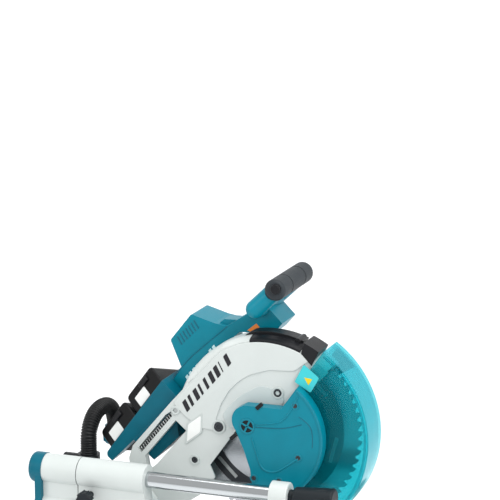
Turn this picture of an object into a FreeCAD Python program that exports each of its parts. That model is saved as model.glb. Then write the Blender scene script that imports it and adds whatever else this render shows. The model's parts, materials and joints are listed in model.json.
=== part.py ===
"""Cordless sliding compound mitre saw, 305 mm blade, bolted on a folding stand.

Millimetres. +X is the operator's right, +Y points away from the operator, +Z is up.
The saw is modelled from its own reference point, where the fence line crosses the turntable's
centre on the table, and is then lifted onto the stand. The head is modelled in its own plane,
with "forward" and "up" distances from the chop pivot, and is then swung up to its rest position.
"""
import FreeCAD, Part
import math
import os

Vector = FreeCAD.Vector
nodes = {}

# ---- placing ----------------------------------------------------------------------------------
TABLE_HEIGHT = 830.0          # saw table above the floor
SAW_Y = 26.5                  # fence line, measured from the middle of the whole object
BEAM_Y = 10.0                 # middle of the stand's beam
HEAD_RAISED = 45.0            # angle of the head's long axis at rest, degrees

# ---- stand ------------------------------------------------------------------------------------
BEAM_HALF = 550.0
BEAM_HALF_WIDTH = 55.0
BEAM_TOP = 700.0
BEAM_BOTTOM = 650.0
BEAM_WALL = 4.0
HINGE_X = 430.0
LEFT_HINGE_Z = 625.0
RIGHT_HINGE_Z = 580.0
LEG_SPLAY = 12.0
LEG_RADIUS = 12.0
FOOT_SPREAD = 290.0
BRACKET_X = 220.0
BRACKET_TOP = 730.0
ARM_END_X = 590.0
ROLLER_RADIUS = 15.0
ARM_OFFSET = 25.5             # the two extension arms pass each other inside the beam
BOLT_ROWS = (SAW_Y - 105.0, SAW_Y + 80.0)
BOLT_HOLE_RADIUS = 4.5
CLAMP_X = 500.0               # clamping screws of the extension arms
CLAMP_Z = 675.0
CLAMP_SCREW_RADIUS = 5.0
HINGE_PIN_RADIUS = 6.0
LOCK_PIN_RADIUS = 4.0
LOCK_PIN_REACH = 20.0         # from the leg's hinge towards the middle
LOCK_PIN_LIFT = 2.0
POST_RADIUS = 10.0
FORK_HALF = 138.0
AXLE_RADIUS = 4.0
ROLLER_HALF = 132.0

# ---- saw base ---------------------------------------------------------------------------------
TURNTABLE_RADIUS = 170.0
TABLE_DEPTH = 60.0
SWING_START = 150.0           # the swing space of the table's arm begins inside its pocket
BASE_BOTTOM = -100.0
BASE_HALF = 330.0
SWING = 50.5
FENCE_HEIGHT = 38.0
FENCE_HALF_GAP = 52.0
GRIP_Z = -32.0                # axis of the mitre grip
LATCH_HINGE = (-337.0, -7.0)  # y and z of the thumb lever's hinge
LATCH_PIN_RADIUS = 2.5
MITRE_STEM_RADIUS = 7.0
SLOT_HALF = 34.0              # of the recess for the two inserts
INSERT_THICKNESS = 3.4
BEVEL_PIN_RADIUS = 14.0

# ---- bevel arm, rails and carriage ------------------------------------------------------------
RAIL_X = -106.0
UPPER_RAIL_Z = 262.0
LOWER_RAIL_Z = 200.0
RAIL_RADIUS = 13.0
BOSS_RADIUS = 24.0
BRACKET_FRONT_Y = -72.0
CARRIAGE_FRONT_Y = 168.0
CARRIAGE_REAR_Y = 284.0
ARM_FRONT_Y = 285.5
ARM_REAR_Y = 347.0
PIVOT_Y = 210.0
PIVOT_Z = 193.0
LEFT_EAR = (-60.0, -36.5)     # x planes of the chop pivot's ears
RIGHT_EAR = (34.5, 58.0)
EAR_RADIUS = 32.0
CHOP_SHAFT_RADIUS = 12.0
CHOP_CAP_RADIUS = 15.0
SLIDE_LOCK = (262.0, 231.0)   # y and z of the slide's locking screw
SLIDE_LOCK_RADIUS = 5.0
STOPPER = (PIVOT_Y - 12.0, 152.0)
STOPPER_RADIUS = 4.0
FLOOR_Z = 132.0               # underside of the carriage
SHELF_Z = 214.0               # the dust elbow stands on it
OUTLET_RADIUS = 17.0          # of the dust outlet
BEVEL_SCREW_RADIUS = 6.0

# ---- head -------------------------------------------------------------------------------------
BLADE_CENTRE = (255.0, -50.0)  # forward and up from the chop pivot
BLADE_RADIUS = 152.5
CASE_RADIUS = 157.0
CASE_SIDE_RADIUS = 151.0
CASE_LEFT = -36.0
CASE_RIGHT = 24.0
GUARD_RADIUS = 174.5
GUARD_LEFT = -42.0
GUARD_RIGHT = 28.0
GUARD_TOP_ANGLE = 10.5
GUARD_LOW_ANGLE = -140.0
COVER_RADIUS = 105.0
COVER_LEFT = -62.0
PORT_CENTRE = (252.0, -24.0)
HOUSING_LEFT = 30.0
SPINDLE_RADIUS = 12.0
ARBOR_RADIUS = 15.0
FLANGE_RADIUS = 22.0
MOTOR_AXIS = (243.0, 128.0)
BATTERY_TILT = 8.3            # of the row of batteries, against the head's long axis
PACK_SLOPE = 25.0             # down to the right
PACK_LEFT = 8.0
PACK_SEAT = 104.2
UPPER_PACK = 119.0            # middle of the upper battery, forward of the chop pivot
PACK_PITCH = 81.0
PACK_HALF = 37.5
PACK_HEIGHT = 42.0
PACK_LENGTH = 108.0
GRIP_AXIS = (431.0, 105.0)
GRIP_RADIUS = 17.5
YOKE_RADIUS = 15.0
BUTTON_AXIS = (436.0, 105.0)
RUNNING = 0.05                # radial clearance of a running fit

# ---- dust hose, from the carriage's elbow up and over to the spout on the head -----------------
HOSE_ROUTE = [(14, 327, 236), (14, 327, 264), (15, 327, 294), (46, 328, 318), (98, 328, 317),
              (125, 327, 290), (125, 327, 262)]
HOSE_RADIUS = 14.0


# ---- small helpers ----------------------------------------------------------------------------
def block(x0, x1, y0, y1, z0, z1):
    return Part.makeBox(x1 - x0, y1 - y0, z1 - z0, Vector(x0, y0, z0))


def rod(start, direction, radius, length):
    return Part.makeCylinder(radius, length, Vector(*start), Vector(*direction))


def rod_between(start, end, radius):
    first = Vector(*start)
    span = Vector(*end) - first
    return Part.makeCylinder(radius, span.Length, first, span)


def flat_prism(points, start, direction):
    wire = Part.makePolygon([Vector(*p) for p in points] + [Vector(*points[0])])
    return Part.Face(wire).extrude(direction).translated(start)


def prism_x(points, x0, x1):
    return flat_prism([(0, y, z) for y, z in points], Vector(x0, 0, 0), Vector(x1 - x0, 0, 0))


def prism_y(points, y0, y1):
    return flat_prism([(x, 0, z) for x, z in points], Vector(0, y0, 0), Vector(0, y1 - y0, 0))


def prism_z(points, z0, z1):
    return flat_prism([(x, y, 0) for x, y in points], Vector(0, 0, z0), Vector(0, 0, z1 - z0))


def joined(*shapes):
    whole = shapes[0]
    for shape in shapes[1:]:
        whole = whole.fuse(shape)
    return whole.removeSplitter()


def group(*shapes):
    solids = []
    for shape in shapes:
        solids.extend(shape.Solids)
    return Part.makeCompound(solids)


def mirrored(shape):
    return shape.mirror(Vector(0, 0, 0), Vector(1, 0, 0))


def rounded(shape, radius, test):
    """Fillet the edges whose middle point passes the test."""
    edges = [e for e in shape.Edges if test(e)]
    if not edges:
        return shape
    return shape.makeFillet(radius, edges)


def along(edge, direction):
    """True for a straight edge that runs along the direction."""
    if edge.Curve.TypeId != "Part::GeomLine":
        return False
    return abs(edge.tangentAt(edge.FirstParameter).dot(Vector(*direction))) > 0.99


# ---- stand ------------------------------------------------------------------------------------
def stand_beam():
    outer = block(-BEAM_HALF, BEAM_HALF, BEAM_Y - BEAM_HALF_WIDTH, BEAM_Y + BEAM_HALF_WIDTH,
                  BEAM_BOTTOM, BEAM_TOP)
    outer = rounded(outer, 5.0, lambda e: along(e, (1, 0, 0)))
    inside = BEAM_HALF_WIDTH - BEAM_WALL
    hollow = block(-BEAM_HALF - 1, BEAM_HALF + 1, BEAM_Y - inside, BEAM_Y + inside,
                   BEAM_BOTTOM + BEAM_WALL, BEAM_TOP - BEAM_WALL)
    beam = outer.cut(hollow)
    for side in (-1, 1):
        place = (side * CLAMP_X, BEAM_Y + side * 40.0, CLAMP_Z)
        screw = rod(place, (0, side, 0), CLAMP_SCREW_RADIUS + RUNNING, 30.0)
        beam = beam.cut(screw)
    return beam


def end_cap(side):
    """Plastic plug in the end of the beam, with one window for the extension arm."""
    plate = block(-6, 0, BEAM_Y - BEAM_HALF_WIDTH, BEAM_Y + BEAM_HALF_WIDTH, BEAM_BOTTOM, BEAM_TOP)
    plate = rounded(plate, 5.0, lambda e: along(e, (1, 0, 0)))
    middle = BEAM_Y + side * ARM_OFFSET
    window = block(-10, 10, middle - 24.2, middle + 24.2, 655.3, 694.7)
    cap = plate.cut(window)
    if side > 0:
        cap = mirrored(cap)
    return cap.translated(Vector(side * BEAM_HALF, 0, 0))


def saw_bracket(side):
    """Steel box rail that carries one side of the saw across the beam."""
    x = side * BRACKET_X
    outer = block(x - 25, x + 25, BEAM_Y - 150, BEAM_Y + 160, BEAM_TOP, BRACKET_TOP)
    outer = rounded(outer, 4.0, lambda e: along(e, (0, 1, 0)))
    rail = outer.cut(block(x - 22, x + 22, BEAM_Y - 151, BEAM_Y + 161, BEAM_TOP + 3, BRACKET_TOP - 3))
    for y in BOLT_ROWS:
        rail = rail.cut(rod((x, y, BEAM_TOP - 1), (0, 0, 1), BOLT_HOLE_RADIUS, 40))
    return rail


def hexagon(x, y, z, across, height):
    points = []
    for corner in range(6):
        angle = math.radians(60 * corner)
        points.append((x + across / 1.732 * math.cos(angle), y + across / 1.732 * math.sin(angle)))
    return prism_z(points, z, z + height)


def saw_bolts():
    """Hexagon bolts with nuts that hold the saw's feet on the brackets."""
    bolts = []
    for x in (-BRACKET_X, BRACKET_X):
        for y in BOLT_ROWS:
            shank = rod((x, y, BEAM_TOP - 12), (0, 0, 1), 4.0, 54)
            head = hexagon(x, y, BRACKET_TOP + 12, 13, 6)
            nut = hexagon(x, y, BEAM_TOP - 8, 13, 8)
            bolts.append(joined(shank, head, nut))
    return group(*bolts)


def hinge_bracket(side, hinge_z):
    """Folded steel bracket under the beam, with an ear on each side of the leg frame."""
    x = side * HINGE_X
    plate = block(x - 60, x + 60, BEAM_Y - 64, BEAM_Y + 64, BEAM_BOTTOM - 4, BEAM_BOTTOM)
    bracket = plate
    for y in (BEAM_Y - 64, BEAM_Y + 60):
        ear = prism_y([(x - 34, BEAM_BOTTOM - 2), (x + 34, BEAM_BOTTOM - 2), (x + 24, hinge_z - 16),
                       (x - 24, hinge_z - 16)], y, y + 4)
        bracket = bracket.fuse(ear)
    bracket = bracket.cut(rod((x, BEAM_Y - 80, hinge_z), (0, 1, 0), HINGE_PIN_RADIUS, 160))
    lock = (x - side * LOCK_PIN_REACH, BEAM_Y - 80, hinge_z + LOCK_PIN_LIFT)
    return bracket.cut(rod(lock, (0, 1, 0), LOCK_PIN_RADIUS + RUNNING, 30))


def hinge_pin(side, hinge_z):
    x = side * HINGE_X
    shaft = rod((x, BEAM_Y - 66, hinge_z), (0, 1, 0), HINGE_PIN_RADIUS, 132)
    heads = [rod((x, y, hinge_z), (0, 1, 0), 10.0, 4) for y in (BEAM_Y - 68, BEAM_Y + 64)]
    return joined(shaft, *heads)


def leg_frame(side, hinge_z, hollow=True):
    """Two splayed steel legs with a hinge tube and a cross bar, in their working position."""
    foot_x = side * (HINGE_X + hinge_z * math.tan(math.radians(LEG_SPLAY)))
    top_x = side * HINGE_X
    outer = rod((top_x, BEAM_Y - 58, hinge_z), (0, 1, 0), 14.0, 116)
    bores = rod((top_x, BEAM_Y - 59, hinge_z), (0, 1, 0), HINGE_PIN_RADIUS + RUNNING, 118)
    bar_share = 0.52
    ends = []
    for way in (-1, 1):
        top = (top_x, BEAM_Y + way * 32, hinge_z)
        foot = (foot_x, BEAM_Y + way * FOOT_SPREAD, 8.0)
        ends.append([t + bar_share * (f - t) for t, f in zip(top, foot)])
        outer = outer.fuse(rod_between(top, foot, LEG_RADIUS))
        inner_top = [t + 0.06 * (f - t) for t, f in zip(top, foot)]
        bores = bores.fuse(rod_between(inner_top, foot, LEG_RADIUS - 1.6))
    outer = outer.fuse(rod_between(ends[0], ends[1], 9.0))
    if not hollow:
        return outer
    return outer.cut(bores)


def feet(side, hinge_z):
    """Rubber foot caps pushed over the leg ends."""
    foot_x = side * (HINGE_X + hinge_z * math.tan(math.radians(LEG_SPLAY)))
    legs = leg_frame(side, hinge_z, hollow=False)
    caps = []
    for way in (-1, 1):
        cap = Part.makeCone(19.0, 16.0, 40.0, Vector(foot_x, BEAM_Y + way * FOOT_SPREAD * 0.995, 0))
        caps.append(cap.cut(legs))
    return group(*caps)


def lock_pin(side, hinge_z):
    """Sprung pull pin beside the hinge."""
    x = side * (HINGE_X - LOCK_PIN_REACH)
    pin = rod((x, BEAM_Y - 90, hinge_z + LOCK_PIN_LIFT), (0, 1, 0), LOCK_PIN_RADIUS, 30)
    knob = rod((x, BEAM_Y - 96, hinge_z + LOCK_PIN_LIFT), (0, 1, 0), 10.0, 18)
    return joined(pin, rounded(knob, 2.0, lambda e: e.Curve.TypeId == "Part::GeomCircle"))


def extension_arm(side):
    """Box arm that draws out of the beam, with the socket of the roller post at its end."""
    middle = BEAM_Y + side * ARM_OFFSET
    outer = block(90, 576, middle - 23.5, middle + 23.5, 656, 694)
    inner = block(80, 566, middle - 21, middle + 21, 658.5, 691.5)
    socket = block(ARM_END_X - 15, ARM_END_X + 15, middle - 24, middle + 24, 645, 705)
    socket = rounded(socket, 5.0, lambda e: along(e, (0, 0, 1)))
    arm = outer.cut(inner).fuse(socket)
    arm = arm.cut(rod((ARM_END_X, middle, 640), (0, 0, 1), POST_RADIUS + RUNNING, 80))
    return arm if side > 0 else mirrored(arm)


def roller_post(side):
    """Height-adjustable post with the fork that carries the roller."""
    middle = BEAM_Y + side * ARM_OFFSET
    top = TABLE_HEIGHT - ROLLER_RADIUS
    post = rod((ARM_END_X, middle, 640), (0, 0, 1), POST_RADIUS, 140)
    fork = block(ARM_END_X - 13, ARM_END_X + 13, BEAM_Y - FORK_HALF, BEAM_Y + FORK_HALF, 778, 784)
    ears = []
    for y in (BEAM_Y - FORK_HALF, BEAM_Y + FORK_HALF - 4):
        ear = block(ARM_END_X - 13, ARM_END_X + 13, y, y + 4, 778, top + 8)
        ears.append(ear.cut(rod((ARM_END_X, y - 1, top), (0, 1, 0), AXLE_RADIUS, 6)))
    axle = rod((ARM_END_X, BEAM_Y - 140, top), (0, 1, 0), AXLE_RADIUS, 280)
    part = joined(post, fork, *ears, axle)
    return part if side > 0 else mirrored(part)


def roller(side):
    top = TABLE_HEIGHT - ROLLER_RADIUS
    drum = rod((ARM_END_X, BEAM_Y - ROLLER_HALF, top), (0, 1, 0), ROLLER_RADIUS, 2 * ROLLER_HALF)
    drum = rounded(drum, 2.0, lambda e: e.Curve.TypeId == "Part::GeomCircle")
    drum = drum.cut(rod((ARM_END_X, BEAM_Y - 140, top), (0, 1, 0), AXLE_RADIUS + RUNNING, 280))
    return drum if side > 0 else mirrored(drum)


def star_knob(lobes, radius, thickness):
    """Lobed hand knob around the Z axis, from z = 0."""
    knob = rod((0, 0, 0), (0, 0, 1), radius, thickness)
    for lobe in range(lobes):
        angle = 2 * math.pi * lobe / lobes
        notch = rod((1.25 * radius * math.cos(angle), 1.25 * radius * math.sin(angle), -1),
                    (0, 0, 1), 0.42 * radius, thickness + 2)
        knob = knob.cut(notch)
    return knob


def turned_to(shape, direction, place):
    """Turn a shape built along +Z so that it points along the direction."""
    turn = FreeCAD.Rotation(Vector(0, 0, 1), Vector(*direction))
    return shape.transformed(FreeCAD.Placement(Vector(*place), turn).toMatrix())


def arm_knob(side):
    """Clamping knob of an extension arm, screwed through the beam's wall."""
    knob = star_knob(6, 19.0, 16.0).translated(Vector(0, 0, 12))
    stem = rod((0, 0, 0.4 - BEAM_WALL - 2.0), (0, 0, 1), CLAMP_SCREW_RADIUS, 14.0 + BEAM_WALL)
    wall_y = BEAM_Y + side * BEAM_HALF_WIDTH
    return turned_to(joined(knob, stem), (0, side, 0), (side * CLAMP_X, wall_y, CLAMP_Z))


# ---- saw base ---------------------------------------------------------------------------------
def base_casting():
    """Aluminium base with two tables, a pocket for the turntable and four feet."""
    wing = [(BASE_HALF - 20, -120), (BASE_HALF, -100), (BASE_HALF, 80), (BASE_HALF - 15, 95),
            (150, 95), (150, -120)]
    under = [(x - math.copysign(7, x - 200), y - math.copysign(7, y)) for x, y in wing]
    shell = prism_z(wing, -TABLE_DEPTH, 0).cut(prism_z(under, -TABLE_DEPTH - 1, -7))
    base = rod((0, 0, BASE_BOTTOM), (0, 0, 1), 190.0, -BASE_BOTTOM)
    for half in (shell, mirrored(shell)):
        base = base.fuse(half)
    base = base.cut(rod((0, 0, -TABLE_DEPTH - 1.5), (0, 0, 1), TURNTABLE_RADIUS + 0.6, 80))
    base = base.cut(rod((0, 0, BASE_BOTTOM - 1), (0, 0, 1), 150.0, 28))
    base = base.cut(rod((0, 0, BASE_BOTTOM - 1), (0, 0, 1), 130.0, 60))
    swing = math.radians(SWING)
    for half_width, way in ((57.0, -1), (62.0, 1)):
        corner_x = SWING_START * math.sin(swing) + half_width * math.cos(swing)
        corner_y = SWING_START * math.cos(swing) - half_width * math.sin(swing)
        far_x = corner_x + 300 * math.sin(swing)
        far_y = corner_y + 300 * math.cos(swing)
        wedge = [(corner_x, way * corner_y), (far_x, way * far_y), (far_x, way * 700),
                 (-far_x, way * 700), (-far_x, way * far_y), (-corner_x, way * corner_y)]
        base = base.cut(prism_z(wedge, -TABLE_DEPTH - 1.5, 1))
    for side in (-1, 1):
        x = side * BRACKET_X
        post_x0, post_x1 = sorted((x + side * 14, x + side * 24))
        for y in BOLT_ROWS:
            y_here = y - SAW_Y
            tab = block(x - 24, x + 24, y_here - 14, y_here + 14, BASE_BOTTOM, BASE_BOTTOM + 12)
            post = block(post_x0, post_x1, y_here - 14, y_here + 14, BASE_BOTTOM, -4)
            base = base.fuse(tab).fuse(post)
            base = base.cut(rod((x, y_here, BASE_BOTTOM - 1), (0, 0, 1), BOLT_HOLE_RADIUS, 20))
        rib = block(min(x, side * 120), max(x, side * 120), -20, 20, BASE_BOTTOM, BASE_BOTTOM + 30)
        base = base.fuse(rib)
    base = base.cut(rod((0, 0, -TABLE_DEPTH - 1.5), (0, 0, 1), TURNTABLE_RADIUS + 0.6, 80))
    return base.removeSplitter()


def fence_half():
    """Right half of the low fixed fence, over the table and the edge of the turntable."""
    face = prism_x([(0, 0), (12, 0), (12, FENCE_HEIGHT), (0, FENCE_HEIGHT)], FENCE_HALF_GAP, BASE_HALF)
    slant = prism_y([(FENCE_HALF_GAP - 1, 12), (FENCE_HALF_GAP + 26, FENCE_HEIGHT + 1),
                     (FENCE_HALF_GAP - 1, FENCE_HEIGHT + 1)], -1, 13)
    foot = block(182, BASE_HALF - 4, 12, 34, 0, 10)
    fence = joined(face.cut(slant), foot)
    for x in (205, 300):
        fence = fence.cut(rod((x, 24, -1), (0, 0, 1), BOLT_HOLE_RADIUS, 12))
    groove = block(95, BASE_HALF + 1, 8, 12.5, 22, 32)
    return fence.cut(groove)


def sliding_fence():
    """Right upper fence: a tall face with a slanted inner end and a tongue in the low fence's groove."""
    low = FENCE_HEIGHT + 0.5
    face = prism_y([(228, low), (334, low), (334, 112), (310, 112)], 0, 13)
    back = prism_y([(236, 18), (334, 18), (334, 112), (310, 112), (236, low)], 12.4, 17)
    tongue = block(240, 332, 8.4, 13, 22.4, 31.6)
    return joined(face, back, tongue)


# ---- turntable --------------------------------------------------------------------------------
def turntable():
    """Round table with the front arm, the blade slot and the rear hub of the bevel pivot."""
    plate = rod((0, 0, -TABLE_DEPTH), (0, 0, 1), TURNTABLE_RADIUS, TABLE_DEPTH - 0.5)
    pocket = rod((0, 0, -TABLE_DEPTH - 1), (0, 0, 1), TURNTABLE_RADIUS - 9, TABLE_DEPTH - 9)
    plate = plate.cut(pocket.cut(block(-26, 26, -200, 200, -80, 0)))
    arm = block(-54, 54, -345, -140, -TABLE_DEPTH, -0.5)
    arm = arm.cut(rounded(block(-48, 48, -338, -170, -80, -9), 4.0, lambda e: along(e, (0, 0, 1))))
    spine = block(-26, 26, -345, -140, -TABLE_DEPTH, -0.5)
    tail = block(-58, 58, 140, 232, -TABLE_DEPTH, -8)
    hub = rod((0, 196, 0), (0, 1, 0), 34.0, 36)
    neck = block(-34, 34, 196, 232, -30, 0)
    table = joined(plate, arm, spine, tail, hub, neck)
    table = table.cut(block(-14, 14, -312, 14, -80, 5))
    table = table.cut(block(-SLOT_HALF, SLOT_HALF, -322, 30, -4.2, 5))
    table = table.cut(rod((0, 190, 0), (0, 1, 0), BEVEL_PIN_RADIUS, 50))
    table = table.cut(rod((0, -360, GRIP_Z), (0, 1, 0), MITRE_STEM_RADIUS + RUNNING, 40))
    table = table.cut(block(-12, 12, -346, -329, -13, 0))
    return table.cut(rod((-17, *LATCH_HINGE), (1, 0, 0), LATCH_PIN_RADIUS + RUNNING, 34))


def kerf_board(side):
    """Plastic insert on one side of the blade slot."""
    x0, x1 = sorted((side * 6.5, side * (SLOT_HALF - 0.3)))
    board = block(x0, x1, -321.5, 29.5, -4.2, -0.8)
    for y in (-300, -150, 10):
        board = board.cut(Part.makeCone(0.01, 4.0, INSERT_THICKNESS, Vector(side * 25, y, -4.2)))
    return board


def mitre_grip():
    """Round locking grip of the mitre arm, screwed into the front of the turntable."""
    stem = rod((0, -366, GRIP_Z), (0, 1, 0), MITRE_STEM_RADIUS, 46)
    grip = Part.makeCone(19.0, 22.0, 58.0, Vector(0, -424, GRIP_Z), Vector(0, 1, 0))
    grip = rounded(grip, 5.0, lambda e: e.Curve.TypeId == "Part::GeomCircle")
    for rib in range(8):
        angle = math.radians(45 * rib)
        x = 23.5 * math.cos(angle)
        z = GRIP_Z + 23.5 * math.sin(angle)
        grip = grip.cut(rod((x, -410, z), (0, 1, 0), 3.2, 60))
    return joined(stem, grip)


def mitre_latch():
    """Thumb lever over the grip, hinged in the end of the mitre arm."""
    lever = prism_x([(-333, -4), (-346, -3), (-400, 0), (-405, -4), (-399, -6.5), (-346, -8), (-333, -10)],
                    -11, 11)
    return joined(lever, rod((-16, *LATCH_HINGE), (1, 0, 0), LATCH_PIN_RADIUS, 32))


# ---- bevel arm --------------------------------------------------------------------------------
def rail_pair(radius, y0, y1):
    return [rod((RAIL_X, y0, z), (0, 1, 0), radius, y1 - y0) for z in (UPPER_RAIL_Z, LOWER_RAIL_Z)]


def slide_rails():
    """Two steel tubes, seated in the front bracket and in the arm."""
    ends = (BRACKET_FRONT_Y + 11, ARM_REAR_Y - 4)
    bores = rail_pair(RAIL_RADIUS - 4, *ends)
    return group(*[rail.cut(bore) for rail, bore in zip(rail_pair(RAIL_RADIUS, *ends), bores)])


def boss_pair(radius, y0, y1):
    """Two round bosses joined by a web, around the rails."""
    upper, lower = rail_pair(radius, y0, y1)
    web = block(RAIL_X - 15, RAIL_X + 15, y0, y1, LOWER_RAIL_Z, UPPER_RAIL_Z)
    return joined(upper, lower, web)


def bevel_arm():
    """Cast arm from the bevel pivot behind the turntable up to the rear ends of the rails."""
    foot = [(-46, -24), (-30, -46), (30, -46), (46, -24), (46, 30), (-12, 108), (-64, 128), (-130, 128)]
    lower = prism_y(foot, 232.8, 272)
    hub = rod((0, 232.8, 0), (0, 1, 0), 46.0, 39.2)
    knee = prism_y([(-130, 90), (-76, 90), (-66, 128), (-82, 200), (-130, 200)], ARM_FRONT_Y, ARM_REAR_Y)
    floor = prism_y([(-130, 88), (-60, 88), (-64, 128), (-130, 128)], 262, ARM_FRONT_Y + 10)
    arm = joined(lower, hub, floor, knee, boss_pair(BOSS_RADIUS, ARM_FRONT_Y, ARM_REAR_Y))
    hollow = prism_y([(-120, 100), (-84, 100), (-88, 172), (-120, 172)], ARM_FRONT_Y + 12, ARM_REAR_Y + 1)
    arm = arm.cut(hollow)
    arm = arm.cut(rod((0, 230, 0), (0, 1, 0), BEVEL_PIN_RADIUS + RUNNING, 46))
    for bore in rail_pair(RAIL_RADIUS, ARM_FRONT_Y - 1, ARM_REAR_Y - 4):
        arm = arm.cut(bore)
    return arm


def rear_cap():
    """Moulded cover over the rear end of the arm."""
    face = prism_y([(-131, 96), (-78, 96), (-81, LOWER_RAIL_Z), (-82, UPPER_RAIL_Z), (-130, UPPER_RAIL_Z)],
                   ARM_REAR_Y, ARM_REAR_Y + 11)
    lower = rod((RAIL_X, ARM_REAR_Y, LOWER_RAIL_Z), (0, 1, 0), BOSS_RADIUS + 1, 13)
    upper = rod((RAIL_X, ARM_REAR_Y, UPPER_RAIL_Z), (0, 1, 0), BOSS_RADIUS + 1, 24)
    upper = rounded(upper, 7.0, lambda e: e.CenterOfMass.y > ARM_REAR_Y + 20
                    and e.Curve.TypeId == "Part::GeomCircle")
    return joined(face, lower, upper)


def front_bracket():
    """Cast bracket that ties the front ends of the rails together."""
    rear = BRACKET_FRONT_Y + 29
    bracket = boss_pair(BOSS_RADIUS - 2, BRACKET_FRONT_Y, rear)
    bracket = rounded(bracket, 2.5, lambda e: abs(e.CenterOfMass.y - BRACKET_FRONT_Y) < 0.1)
    for bore in rail_pair(RAIL_RADIUS, BRACKET_FRONT_Y + 11, rear + 1):
        bracket = bracket.cut(bore)
    stub = rod((RAIL_X, BRACKET_FRONT_Y - 1, UPPER_RAIL_Z), (0, 1, 0), BEVEL_SCREW_RADIUS + RUNNING, 15)
    return bracket.cut(stub)


def bevel_knob():
    """Ribbed hand knob that clamps the bevel, on the front end of the upper rail."""
    stub = rod((RAIL_X, BRACKET_FRONT_Y - 8, UPPER_RAIL_Z), (0, 1, 0), BEVEL_SCREW_RADIUS, 18)
    collar = rod((RAIL_X, BRACKET_FRONT_Y - 8, UPPER_RAIL_Z), (0, 1, 0), 11.0, 7.5)
    body = Part.makeCone(20.5, 16.0, 66.0, Vector(RAIL_X, BRACKET_FRONT_Y - 74, UPPER_RAIL_Z),
                         Vector(0, 1, 0))
    body = rounded(body, 4.0, lambda e: e.Curve.TypeId == "Part::GeomCircle")
    for rib in range(8):
        angle = math.radians(45 * rib + 22.5)
        x = RAIL_X + 22.0 * math.cos(angle)
        z = UPPER_RAIL_Z + 22.0 * math.sin(angle)
        body = body.cut(rod((x, BRACKET_FRONT_Y - 62, z), (0, 1, 0), 3.6, 60))
    return joined(stub, collar, body)


# ---- carriage ---------------------------------------------------------------------------------
def carriage():
    """Slide housing on the rails, with the two ears of the chop pivot."""
    housing = boss_pair(BOSS_RADIUS, CARRIAGE_FRONT_Y, CARRIAGE_REAR_Y)
    link = block(RAIL_X + 10, LEFT_EAR[0], PIVOT_Y - 30, PIVOT_Y + 30, FLOOR_Z, PIVOT_Z + 30)
    bridge = block(RAIL_X + 10, RIGHT_EAR[1], PIVOT_Y - 22, PIVOT_Y + 46, FLOOR_Z, FLOOR_Z + 12)
    stay = block(-24, 24, PIVOT_Y + 41, PIVOT_Y + 46, FLOOR_Z, SHELF_Z + 6)
    shelf = block(-24, 34, PIVOT_Y + 41, PIVOT_Y + 130, SHELF_Z - 6, SHELF_Z)
    body = joined(housing, link, bridge, stay, shelf)
    for inner, outer in (LEFT_EAR, RIGHT_EAR):
        ear = rod((inner, PIVOT_Y, PIVOT_Z), (1, 0, 0), EAR_RADIUS, outer - inner)
        wall = block(inner, outer, PIVOT_Y - 22, PIVOT_Y + 22, FLOOR_Z, PIVOT_Z)
        body = joined(body, ear, wall)
    left = LEFT_EAR[0]
    body = body.cut(rod((left - 10, PIVOT_Y, PIVOT_Z), (1, 0, 0), CHOP_SHAFT_RADIUS, 140))
    body = body.cut(rod((left - 4, PIVOT_Y, PIVOT_Z), (1, 0, 0), CHOP_CAP_RADIUS, 4))
    for bore in rail_pair(RAIL_RADIUS + RUNNING, CARRIAGE_FRONT_Y - 1, CARRIAGE_REAR_Y + 1):
        body = body.cut(bore)
    body = body.cut(rod((RAIL_X - 34, *SLIDE_LOCK), (1, 0, 0), SLIDE_LOCK_RADIUS + RUNNING, 34))
    return body.cut(rod((34, *STOPPER), (1, 0, 0), STOPPER_RADIUS + RUNNING, 30))


def slide_lock_knob():
    """Thumb screw that locks the slide, on the carriage's left side."""
    stem = rod((RAIL_X - 32, *SLIDE_LOCK), (1, 0, 0), SLIDE_LOCK_RADIUS, 30)
    knob = star_knob(10, 13.0, 15.0)
    return joined(stem, turned_to(knob, (-1, 0, 0), (RAIL_X - 31, *SLIDE_LOCK)))


def stopper_pin():
    """Pull pin that holds the head down for carrying."""
    pin = rod((36, *STOPPER), (1, 0, 0), STOPPER_RADIUS, 30)
    knob = rod((62, *STOPPER), (1, 0, 0), 10.0, 14)
    return joined(pin, rounded(knob, 2.0, lambda e: e.Curve.TypeId == "Part::GeomCircle"))


def pivot_shaft():
    """Shaft of the chop pivot with a cap at each end."""
    left, right = LEFT_EAR[0], RIGHT_EAR[1]
    shaft = rod((left - 2, PIVOT_Y, PIVOT_Z), (1, 0, 0), CHOP_SHAFT_RADIUS, right - left + 4)
    caps = [rod((x, PIVOT_Y, PIVOT_Z), (1, 0, 0), CHOP_CAP_RADIUS, 4) for x in (left - 4, right)]
    return joined(shaft, *caps)


def dust_elbow():
    """Elbow on the carriage between the dust hose and the outlet at the rear."""
    x, y, seat = HOSE_ROUTE[0]
    turn = (x, y, seat - 3.5)
    body = rod((x, y, SHELF_Z), (0, 0, 1), 19.0, 38)
    shoulder = rod(turn, (0, 1, 0), OUTLET_RADIUS + 1, 20)
    outlet = rod(turn, (0, 1, 0), OUTLET_RADIUS, 44)
    elbow = joined(body, shoulder, outlet)
    elbow = elbow.cut(rod((x, y, seat), (0, 0, 1), HOSE_RADIUS + RUNNING, 40))
    elbow = elbow.cut(rod((x, y - 9, seat - 3.5), (0, 1, 0), OUTLET_RADIUS - 5, 60))
    return elbow.cut(rod(turn, (0, 0, 1), HOSE_RADIUS - 3, 10))


# ---- head: outlines in the head's own plane ---------------------------------------------------
def polar(radius, degrees):
    """Point at a radius and angle from the blade's centre; 0 degrees is forward."""
    angle = math.radians(degrees)
    return (BLADE_CENTRE[0] + radius * math.cos(angle), BLADE_CENTRE[1] + radius * math.sin(angle))


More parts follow.
